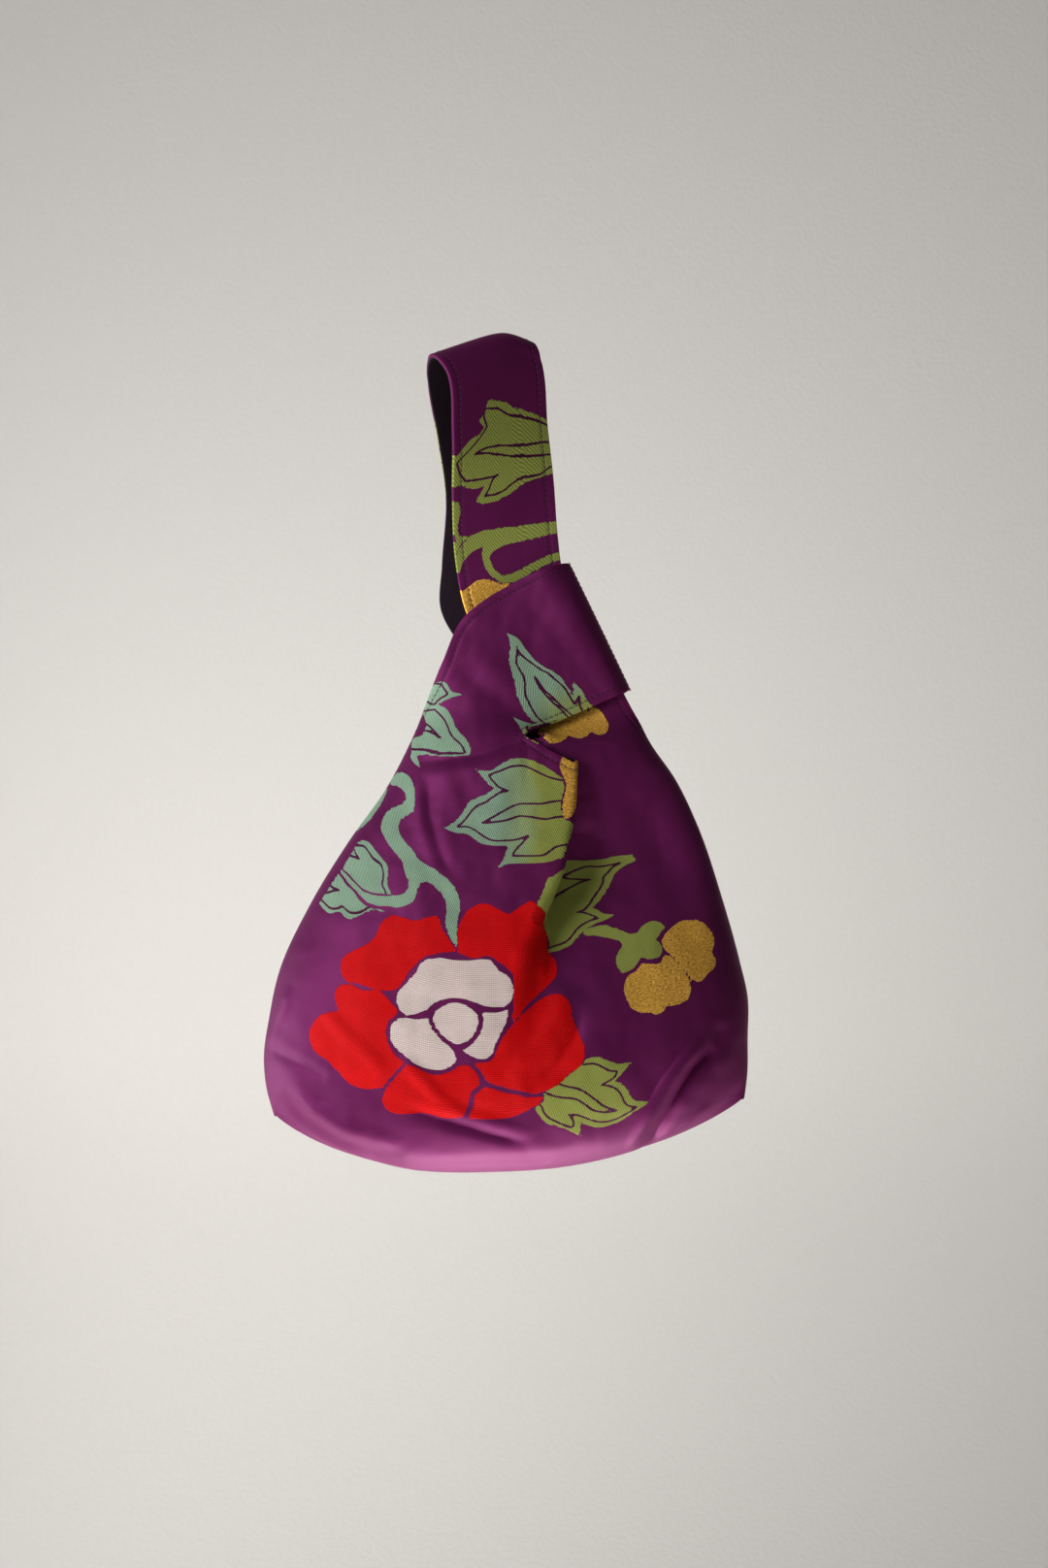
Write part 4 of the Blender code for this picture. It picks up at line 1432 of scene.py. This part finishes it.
@dataclass(frozen=True)
class BrocadeFinish:
    """Purple satin ground with raised figures in silk and gold weft."""

    rib: float = 0.00092
    satin: float = 0.00042
    satin_slant: float = 900.0
    twill: tuple[float, float] = (0.86, 0.40)
    line: float = 0.00048
    ragged: float = 0.0005
    soft: float = 0.00012
    stitch_place: float = 0.0040
    # How fast and where the leaves turn from mint to olive across the cloth: partly their own colour band,
    # partly painted light, cool on the lit left and warmer and darker on the shaded right.
    mint_to_olive_rate: float = 60.0
    mint_to_olive_start: float = 0.10
    height: float = 0.001
    ground: tuple[float, ...] = rgb(80, 16, 60)
    ground_light: tuple[float, ...] = rgb(94, 26, 76)
    outline: tuple[float, ...] = rgb(58, 14, 46)
    mint: tuple[float, ...] = rgb(138, 166, 140)
    olive: tuple[float, ...] = rgb(146, 154, 74)
    red: tuple[float, ...] = rgb(236, 6, 10)
    deep_red: tuple[float, ...] = rgb(188, 2, 8)
    ivory: tuple[float, ...] = rgb(240, 224, 214)
    ivory_shade: tuple[float, ...] = rgb(214, 190, 186)
    gold: tuple[float, ...] = rgb(252, 200, 92)
    gold_shade: tuple[float, ...] = rgb(168, 108, 32)

    def build(self) -> bpy.types.Material:
        """The material. It reads the cloth's own coordinates and the wefts' distances.

        Returns:
            The material.
        """
        g = Graph("Purple brocade")
        cloth = g.node("ShaderNodeUVMap", {"uv_map": "cloth"})
        u, v = (g.node("ShaderNodeSeparateXYZ", {}, [cloth], axis) for axis in ("X", "Y"))
        turn = 2 * math.pi
        picks = v / self.rib
        pick = g.node(
            "ShaderNodeTexWhiteNoise", {"noise_dimensions": "1D"}, {"W": picks.floor()}, "Value"
        )
        ragged = (pick - 0.5) * self.ragged
        wefts = {weft: g.attribute(weft.value) for weft in Weft if weft is not Weft.VEIN}
        masks = {weft: (value + ragged).below(0.0, self.soft) for weft, value in wefts.items()}
        line = abs(wefts[Weft.BLADE] + ragged * 0.4).below(self.line, 0.00014)
        drawn = line * masks[Weft.LEAF] * (1 - masks[Weft.STEM])
        green = masks[Weft.LEAF].most(masks[Weft.STEM])
        silk = masks[Weft.RED].most(masks[Weft.IVORY])
        figure = green.most(silk).most(masks[Weft.GOLD]) * (1 - drawn)

        broad = g.noise(cloth, 26.0)
        patch = g.noise(cloth, 90.0, 3.0)
        fine = g.noise(cloth, 1100.0, 3.0)
        slub = g.noise(g.stretched(cloth, 60.0, 900.0), 1.0, 3.0)
        fleck = g.noise(g.stretched(cloth, 700.0, 1900.0), 1.0, 4.0)
        rib = (picks * turn).sine() * 0.5 + 0.5
        cord = (u * (turn / self.rib)).sine() * 0.5 + 0.5
        slanted = u * self.twill[0] + v * self.twill[1]
        twill = (slanted * (turn / self.rib)).sine() * 0.5 + 0.5
        warp = (u * (turn / self.satin) + v * self.satin_slant).sine() * 0.5 + 0.5

        ground = g.mix(broad * 0.7 + slub * 0.5 - 0.1, self.ground, self.ground_light)
        # The leaves run from mint on the left to olive on the right: partly a woven colour band, partly
        # painted light and shade, cool where the key lamp falls and warmer and darker away from it.
        mint_to_olive = u * self.mint_to_olive_rate + self.mint_to_olive_start + (broad - 0.5) * 1.5
        leaf = g.mix(mint_to_olive, self.mint, self.olive)
        red = g.mix(broad * 0.6 + slub * 0.4, self.red, self.deep_red)
        ivory = g.mix(slub * 0.7 + broad * 0.3, self.ivory, self.ivory_shade)
        # The gold's bright flecks are painted glints of the metal thread; its darker mottling is its own
        # colour.
        gold = g.mix(fleck * 3.4 - 1.2, self.gold_shade, self.gold)
        colour = g.mix(green, ground, leaf)
        colour = g.mix(drawn, colour, self.outline)
        colour = g.mix(masks[Weft.RED], colour, red)
        colour = g.mix(masks[Weft.IVORY], colour, ivory)
        colour = g.mix(masks[Weft.GOLD], colour, gold)
        # Painted shade: the colour is darkened in the grooves between the silk's ribs and warp ties and
        # between the green's twill lines.
        gaps = silk * ((1 - rib) * 0.36 + (1 - cord) * 0.16)
        gaps = gaps + green * (1 - drawn) * (1 - twill) * 0.42
        stitch_row = abs(g.attribute("edge") - self.stitch_place)
        # Painted highlight: the rolled-over free edges are made 15 percent lighter.
        turned = g.attribute("edge").below(0.0008, 0.0016)
        shade = (1 - gaps) * (0.92 + fine * 0.16) * (1 + turned * 0.15)
        # Painted shade: the colour is 35 percent darker along the sunken stitch line.
        colour = g.scaled(colour, shade * (1 - stitch_row.below(0.0003, 0.0006) * 0.35))

        relief = silk * (rib * 0.10 + cord * 0.05) + green * twill * 0.12
        relief = relief + masks[Weft.GOLD] * fleck * 0.3
        relief = relief + figure * 0.12 + (1 - figure) * (warp * 0.005 + slub * 0.035) + fine * 0.03
        relief = relief + patch * 0.10 - stitch_row.below(0.0008, 0.0016) * 0.25
        normal = g.bump(relief, 0.9, self.height)
        satin = g.principled(
            {
                "Metallic": 0.34,
                "Sheen Weight": 0.06,
                "Sheen Roughness": 0.42,
                "Sheen Tint": rgb(255, 120, 190),
                "Specular IOR Level": 0.40,
                "Specular Tint": rgb(255, 140, 210),
            },
            colour=colour,
            roughness=0.46 + broad * 0.08 + fine * 0.08,
            normal=normal,
        )
        woven = g.principled(
            {"Specular IOR Level": 0.08},
            colour=colour,
            roughness=0.56 + fine * 0.12 - masks[Weft.GOLD] * 0.16,
            metallic=masks[Weft.GOLD] * 0.45 + green * 0.12,
            normal=normal,
        )
        return g.finish(g.node("ShaderNodeMixShader", {}, [figure, satin, woven]))


@dataclass(frozen=True)
class LiningFinish:
    """Plain near-black purple lining in a fine weave."""

    colour: tuple[float, ...] = rgb(22, 7, 18)
    faded: tuple[float, ...] = rgb(32, 12, 28)
    thread: float = 0.0005

    def build(self) -> bpy.types.Material:
        """The material.

        Returns:
            The material.
        """
        g = Graph("Dark lining")
        cloth = g.node("ShaderNodeUVMap", {"uv_map": "cloth"})
        u, v = (g.node("ShaderNodeSeparateXYZ", {}, [cloth], axis) for axis in ("X", "Y"))
        turn = 2 * math.pi / self.thread
        weave = (u * turn).sine() * (v * turn).sine()
        broad = g.noise(cloth, 60.0, 4.0)
        normal = g.bump(weave * 0.03 + broad * 0.4, 0.6, 0.001)
        colour = g.mix(broad * 0.8 + weave * 0.15, self.colour, self.faded)
        return g.finish(
            g.principled(
                {"Specular IOR Level": 0.25}, colour=colour, roughness=0.7 + broad * 0.15, normal=normal
            )
        )


@dataclass(frozen=True)
class ThreadFinish:
    """Twisted sewing thread, a little darker than the ground."""

    colour: tuple[float, ...] = rgb(48, 12, 42)
    light: tuple[float, ...] = rgb(84, 28, 76)

    def build(self) -> bpy.types.Material:
        """The material.

        Returns:
            The material.
        """
        g = Graph("Purple thread")
        place = g.node("ShaderNodeTexCoord", {}, None, "Object")
        wave = g.noise(place, 4000.0)
        colour = g.mix(wave, self.colour, self.light)
        normal = g.bump(wave, 0.5, 0.0002)
        return g.finish(g.principled({}, colour=colour, roughness=0.55 + wave * 0.1, normal=normal))


@dataclass(frozen=True)
class PlasterFinish:
    """The pale studio floor and backdrop."""

    colour: tuple[float, ...] = rgb(222, 219, 213)

    def build(self) -> bpy.types.Material:
        """The material.

        Returns:
            The material.
        """
        g = Graph("Pale plaster")
        place = g.node("ShaderNodeTexCoord", {}, None, "Object")
        grain = g.noise(place, 160.0, 4.0)
        shade = g.mix(grain * 0.3, self.colour, rgb(206, 203, 197))
        normal = g.bump(grain, 0.25, 0.002)
        return g.finish(g.principled({}, colour=shade, roughness=0.85 + grain * 0.05, normal=normal))


# --------------------------------------------------------------------------------------
# Pieces
# --------------------------------------------------------------------------------------


def cloth_object(
    name: str, mesh: Mesh, material: bpy.types.Material, numbers: dict[str, Array]
) -> bpy.types.Object:
    """Makes a Blender object of a cloth surface.

    Args:
        name: the piece's name.
        mesh: its surface.
        material: its finish.
        numbers: what the finish reads at each point, by attribute name.

    Returns:
        The object, at the origin.
    """
    data = bpy.data.meshes.new(name)
    data.vertices.add(len(mesh.points))
    data.vertices.foreach_set("co", mesh.points.astype(np.float32).ravel())
    data.loops.add(mesh.faces.size)
    data.loops.foreach_set("vertex_index", mesh.faces.astype(np.int32).ravel())
    data.polygons.add(len(mesh.faces))
    data.polygons.foreach_set("loop_start", np.arange(0, mesh.faces.size, 4, dtype=np.int32))
    data.update(calc_edges=True)
    data.validate()
    data.uv_layers.new(name="cloth").data.foreach_set(
        "uv", mesh.cloth[mesh.faces.ravel()].astype(np.float32).ravel()
    )
    for key, values in numbers.items():
        data.attributes.new(key, "FLOAT", "POINT").data.foreach_set("value", values.astype(np.float32))
    data.materials.append(material)
    data.shade_smooth()
    piece = bpy.data.objects.new(name, data)
    bpy.context.scene.collection.objects.link(piece)
    return piece


@dataclass
class BagPanel:
    """One side of the bag: its brocade, its lining and its topstitching."""

    side: Side
    creases: tuple[Crease, ...]
    figures: tuple[Figure, ...]
    edge_radius: float = 0.0007
    brocade_turn: float = 0.0002
    lining_turn: float = 0.0001
    stitch_inset: float = 0.004
    stitch_lift: float = 0.00005
    flat: tuple[float, float] = (0.295, 0.467)
    flat_area: float = 0.0730

    @property
    def word(self) -> str:
        """front or back."""
        return self.side.name.lower()

    def brocade(self, material: bpy.types.Material) -> bpy.types.Object:
        """Makes the outer sheet with its woven pattern and its turned edges.

        Args:
            material: the brocade.

        Returns:
            The piece.
        """
        panel = Panel(self.side, creases=self.creases)
        face = moved_out(panel.surface(), panel.layers.total)
        fields = Weaving(face, self.side).distances(self.figures)
        turned = turn_edges(face, self.edge_radius, panel.layers.outer + self.brocade_turn)
        rim = len(turned.points) - len(face.points)
        source = np.unique(border(face.faces))
        repeats = rim // len(source)
        numbers = {
            weft.value: np.concatenate([value] + [value[source]] * repeats)
            for weft, value in fields.items()
        }
        numbers["edge"] = turned.edge
        piece = cloth_object(f"brocade_{self.word}", turned, material, numbers)
        return self.declare(piece, f"outer_{self.word}_panel")

    def lining(self, material: bpy.types.Material) -> bpy.types.Object:
        """Makes the lining, whose shown face looks into the bag.

        Args:
            material: the lining's cloth.

        Returns:
            The piece.
        """
        pleat = PleatFold(lip_cuts=8, edge_cuts=6, layer_cuts=6, crease_cuts=6, tail_cuts=4)
        panel = Panel(
            self.side, creases=self.creases, pleat=pleat, left_cuts=40, right_cuts=40, row_length=0.003
        )
        face = panel.surface()
        inward = Mesh(face.points, face.faces[:, ::-1], face.cloth, face.edge)
        depth = panel.layers.lining + self.lining_turn
        turned = turn_edges(inward, self.edge_radius / 2, depth)
        piece = cloth_object(f"lining_{self.word}", turned, material, {"edge": turned.edge})
        return self.declare(piece, f"lining_{self.word}_panel")

    def declare(self, piece: bpy.types.Object, node: str) -> bpy.types.Object:
        """Rides a sheet on the bag in place of its solid.

        Args:
            piece: the sheet.
            node: its solid.

        Returns:
            The sheet.
        """
        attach(piece, "root")
        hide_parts(node)
        return piece

    def stitching(self, tree: "StitchTree", material: bpy.types.Material) -> bpy.types.Object:
        """Makes the topstitching along every free edge.

        Args:
            tree: what lays the stitches.
            material: the thread.

        Returns:
            The piece.
        """
        panel = Panel(self.side, creases=self.creases)
        lines = panel.stitch_paths(self.stitch_inset, panel.layers.total + self.stitch_lift)
        piece = tree.sew(f"topstitching_{self.word}", lines, material)
        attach(piece, "root")
        return piece


@dataclass
class StitchTree:
    """Geometry Nodes that lay a row of stitches along each line of a piece."""

    pitch: float = 0.0026
    length: float = 0.0019
    radius: float = 0.00022
    segments: int = 6
    rings: int = 4

    def build(self) -> bpy.types.NodeTree:
        """Makes the tree with its named sizes.

        Returns:
            The tree.
        """
        tree = bpy.data.node_groups.new("Stitch rows", "GeometryNodeTree")
        face = tree.interface
        face.new_socket("Lines", in_out="INPUT", socket_type="NodeSocketGeometry")
        for name in ("Pitch", "Stitch length", "Thread radius"):
            face.new_socket(name, in_out="INPUT", socket_type="NodeSocketFloat")
        face.new_socket("Thread", in_out="INPUT", socket_type="NodeSocketMaterial")
        face.new_socket("Stitches", in_out="OUTPUT", socket_type="NodeSocketGeometry")
        made = tree.nodes.new
        link: Callable[..., Any] = tree.links.new
        inputs, output = made("NodeGroupInput"), made("NodeGroupOutput")
        curve, resample = made("GeometryNodeMeshToCurve"), made("GeometryNodeResampleCurve")
        resample.mode = "LENGTH"
        link(inputs.outputs["Lines"], curve.inputs["Mesh"])
        link(curve.outputs["Curve"], resample.inputs["Curve"])
        link(inputs.outputs["Pitch"], resample.inputs["Length"])
        tangent, align = made("GeometryNodeInputTangent"), made("FunctionNodeAlignRotationToVector")
        align.axis = "Z"
        link(tangent.outputs[0], align.inputs["Vector"])
        stitch, scale = made("GeometryNodeMeshUVSphere"), made("GeometryNodeTransform")
        stitch.inputs["Segments"].default_value = self.segments
        stitch.inputs["Rings"].default_value = self.rings
        stitch.inputs["Radius"].default_value = 1.0
        size = made("ShaderNodeCombineXYZ")
        half = made("ShaderNodeMath")
        half.operation = "MULTIPLY"
        half.inputs[1].default_value = 0.5
        link(inputs.outputs["Stitch length"], half.inputs[0])
        for axis in ("X", "Y"):
            link(inputs.outputs["Thread radius"], size.inputs[axis])
        link(half.outputs[0], size.inputs["Z"])
        link(stitch.outputs["Mesh"], scale.inputs["Geometry"])
        link(size.outputs[0], scale.inputs["Scale"])
        place, real = made("GeometryNodeInstanceOnPoints"), made("GeometryNodeRealizeInstances")
        dress = made("GeometryNodeSetMaterial")
        link(resample.outputs["Curve"], place.inputs["Points"])
        link(scale.outputs["Geometry"], place.inputs["Instance"])
        link(align.outputs["Rotation"], place.inputs["Rotation"])
        link(place.outputs["Instances"], real.inputs["Geometry"])
        link(real.outputs["Geometry"], dress.inputs["Geometry"])
        link(inputs.outputs["Thread"], dress.inputs["Material"])
        link(dress.outputs["Geometry"], output.inputs["Stitches"])
        return tree

    def sew(
        self, name: str, lines: list[Array], material: bpy.types.Material
    ) -> bpy.types.Object:
        """Lays stitches along lines and returns them as one plain mesh.

        Args:
            name: the piece's name.
            lines: the lines to sew.
            material: the thread.

        Returns:
            The stitches' object.
        """
        tree = self.build()
        points = np.concatenate(lines)
        edges, start = [], 0
        for line in lines:
            edges += [(start + i, start + i + 1) for i in range(len(line) - 1)]
            start += len(line)
        guide_mesh = bpy.data.meshes.new(name + "_guide")
        guide_mesh.from_pydata(points.tolist(), edges, [])
        guide = bpy.data.objects.new(name + "_guide", guide_mesh)
        bpy.context.scene.collection.objects.link(guide)
        modifier = guide.modifiers.new("Stitch rows", "NODES")
        modifier.node_group = tree
        sizes = {
            "Pitch": self.pitch,
            "Stitch length": self.length,
            "Thread radius": self.radius,
            "Thread": material,
        }
        for item in tree.interface.items_tree:
            if item.in_out == "INPUT" and item.name in sizes:
                modifier[item.identifier] = sizes[item.name]
        graph = bpy.context.evaluated_depsgraph_get()
        made = bpy.data.meshes.new_from_object(guide.evaluated_get(graph))
        guide.modifiers.remove(modifier)
        bpy.data.objects.remove(guide)
        made.name = name
        made.shade_smooth()
        piece = bpy.data.objects.new(name, made)
        bpy.context.scene.collection.objects.link(piece)
        return piece


class Lamp(NamedTuple):
    """A soft square light: its place, its side, its power in watts, its colour and what it faces."""

    name: str
    place: tuple[float, float, float]
    size: float
    power: float
    colour: tuple[float, float, float]
    target: tuple[float, float, float] = (0.0, 0.0, -0.25)


@dataclass
class Studio:
    """The pale floor and backdrop, the soft lights and the camera."""

    eye: tuple[float, float, float] = FrontView.eye
    lens: float = 50.0
    sensor: float = 36.0
    floor_z: float = -1.15
    wall_y: float = 1.7
    wall_height: float = 4.0
    cove: float = 0.6
    cove_points: int = 17
    reach: float = 5.0
    air: tuple[float, ...] = rgb(226, 225, 222)
    air_strength: float = 0.15
    lamps: tuple[Lamp, ...] = (
        Lamp("key", (-1.42, -1.20, 0.13), 1.0, 31.0, (0.96, 0.97, 1.0)),
        Lamp("bounce", (-0.05, -0.45, -1.10), 0.5, 5.0, (1.0, 0.96, 0.94)),
        Lamp("under", (0.02, 0.10, -1.00), 0.5, 8.0, (1.0, 0.95, 0.97)),
        Lamp("fill", (1.5, -1.6, 0.3), 1.6, 1.5, (1.0, 0.93, 0.84)),
        Lamp("rim", (-1.10, 0.15, -0.60), 0.9, 14.0, (0.93, 0.95, 1.0)),
        Lamp("wall", (-0.50, 0.40, -1.00), 1.0, 14.0, (1.0, 0.99, 0.98), (0.0, 1.7, -0.6)),
    )

    def backdrop(self, material: bpy.types.Material) -> bpy.types.Object:
        """Makes the floor and the wall as one swept sheet.

        Args:
            material: the plaster.

        Returns:
            The piece.
        """
        profile = [(-self.reach, self.floor_z)]
        for t in np.linspace(0, math.pi / 2, self.cove_points):
            y = self.wall_y - self.cove + self.cove * math.sin(t)
            profile.append((y, self.floor_z + self.cove * (1 - math.cos(t))))
        profile.append((self.wall_y, self.floor_z + self.wall_height))
        points = [(x, y, z) for y, z in profile for x in (-self.reach, self.reach)]
        faces = [(2 * i, 2 * i + 1, 2 * i + 3, 2 * i + 2) for i in range(len(profile) - 1)]
        data = bpy.data.meshes.new("backdrop")
        data.from_pydata(points, [], faces)
        data.materials.append(material)
        data.shade_smooth()
        sheet = bpy.data.objects.new("backdrop", data)
        bpy.context.scene.collection.objects.link(sheet)
        return sheet

    def light(self, lamp: Lamp) -> None:
        """Adds a soft square light.

        Args:
            lamp: where it stands, how it shines and what it faces.
        """
        data = bpy.data.lights.new(lamp.name, "AREA")
        data.shape, data.size = "SQUARE", lamp.size
        data.energy, data.color = lamp.power, lamp.colour
        holder = bpy.data.objects.new(lamp.name, data)
        holder.location = lamp.place
        aim = Vector(lamp.target) - Vector(lamp.place)
        holder.rotation_mode = "QUATERNION"
        holder.rotation_quaternion = aim.to_track_quat("-Z", "Y")
        bpy.context.scene.collection.objects.link(holder)

    def build(self) -> None:
        """Makes the whole studio."""
        self.backdrop(PlasterFinish().build())
        for lamp in self.lamps:
            self.light(lamp)
        world = bpy.data.worlds.new("Pale room")
        world.use_nodes = True
        sky = world.node_tree.nodes["Background"]
        sky.inputs["Color"].default_value = self.air
        sky.inputs["Strength"].default_value = self.air_strength
        bpy.context.scene.world = world
        bpy.context.scene.view_settings.view_transform = "Standard"
        lens = bpy.data.cameras.new("camera")
        lens.lens, lens.sensor_width, lens.sensor_fit = self.lens, self.sensor, "AUTO"
        holder = bpy.data.objects.new("camera", lens)
        holder.location = self.eye
        holder.rotation_euler = (math.pi / 2, 0.0, 0.0)
        bpy.context.scene.collection.objects.link(holder)
        bpy.context.scene.camera = holder


FRONT_CREASES = (
    Crease(((413, 1086), (432, 1109), (452, 1130), (478, 1147)), -0.0013, 0.0032),
    Crease(((418, 1140), (450, 1151), (480, 1159), (510, 1168), (548, 1177)), 0.0020, 0.0030, 0.5),
    Crease(((300, 1122), (325, 1142), (352, 1160), (385, 1176)), -0.0018, 0.0024),
    Crease(((294, 1122), (318, 1150), (350, 1170), (385, 1184), (418, 1190)), 0.0042, 0.0038, 0.4),
    Crease(((330, 1184), (380, 1193), (430, 1195), (500, 1192), (570, 1190), (640, 1184)), 0.0011, 0.0024),
    Crease(((722, 1070), (702, 1093), (685, 1117), (667, 1147), (645, 1182)), -0.0027, 0.0024),
    Crease(((734, 1078), (714, 1100), (697, 1126), (680, 1155), (658, 1188)), 0.0052, 0.0034),
    Crease(((730, 1134), (706, 1154), (684, 1176)), -0.0014, 0.0018),
    Crease(((742, 1052), (735, 1075), (722, 1098)), 0.0016, 0.0040, 0.5),
    Crease(((768, 1118), (735, 1152), (700, 1180)), 0.0018, 0.0040, 0.4),
    Crease(((303, 1015), (296, 1035), (288, 1055), (280, 1080)), -0.0016, 0.0028),
    Crease(((276, 1078), (300, 1090), (340, 1110)), 0.0014, 0.0032, 0.5),
    Crease(((560, 752), (530, 768), (500, 777), (465, 784), (425, 788)), 0.0016, 0.0040, 0.4),
    Crease(((433, 780), (430, 815), (436, 850), (452, 892), (476, 930)), -0.0010, 0.0036),
    Crease(((446, 800), (443, 840), (452, 880), (468, 912)), 0.0010, 0.0040),
    Crease(((586, 1015), (574, 1050), (552, 1080), (520, 1108)), -0.0015, 0.0042),
    Crease(((600, 1035), (592, 1070), (572, 1100), (540, 1122)), 0.0018, 0.0042),
    Crease(((560, 940), (558, 975), (556, 1015)), -0.0010, 0.0024),
    Crease(((328, 1035), (362, 1070), (402, 1108)), -0.0010, 0.0036),
    Crease(((470, 690), (515, 720), (548, 755)), 0.0009, 0.0050, 0.4),
    Crease(((640, 800), (690, 900), (724, 1010)), 0.0010, 0.0075, 0.5),
)
BACK_CREASES = (
    Crease(((644, 1086), (618, 1110), (580, 1135), (540, 1150), (500, 1160)), 0.0022, 0.0036, 0.5),
    Crease(((752, 1110), (720, 1148), (690, 1167), (640, 1182)), 0.0030, 0.0048, -0.5),
    Crease(((330, 1090), (350, 1120), (372, 1150), (394, 1182)), 0.0028, 0.0042, 0.6),
    Crease(((350, 1186), (430, 1195), (500, 1193), (600, 1188)), 0.0012, 0.0026),
    Crease(((560, 760), (520, 780), (470, 800)), 0.0018, 0.0042, 0.4),
    Crease(((560, 930), (545, 990), (520, 1060), (470, 1110)), 0.0020, 0.0044, 0.5),
)


def main() -> None:
    """Builds the bag's pieces in order, then the studio."""
    brocade, lining = BrocadeFinish().build(), LiningFinish().build()
    thread, stitches = ThreadFinish().build(), StitchTree()
    pieces: list[bpy.types.Object] = []
    front = BagPanel(Side.FRONT, FRONT_CREASES, FRONT_FIGURES)
    back = BagPanel(Side.BACK, BACK_CREASES, BACK_FIGURES)
    for panel in (front, back):
        outer = panel.brocade(brocade)
        inner = panel.lining(lining)
        sewn = panel.stitching(stitches, thread)
        pieces += [outer, inner, sewn]
    Studio().build()
    for piece in pieces:
        piece.data.calc_loop_triangles()
        LOG.info("%s: %d triangles", piece.name, len(piece.data.loop_triangles))


if __name__ == "__main__":
    main()
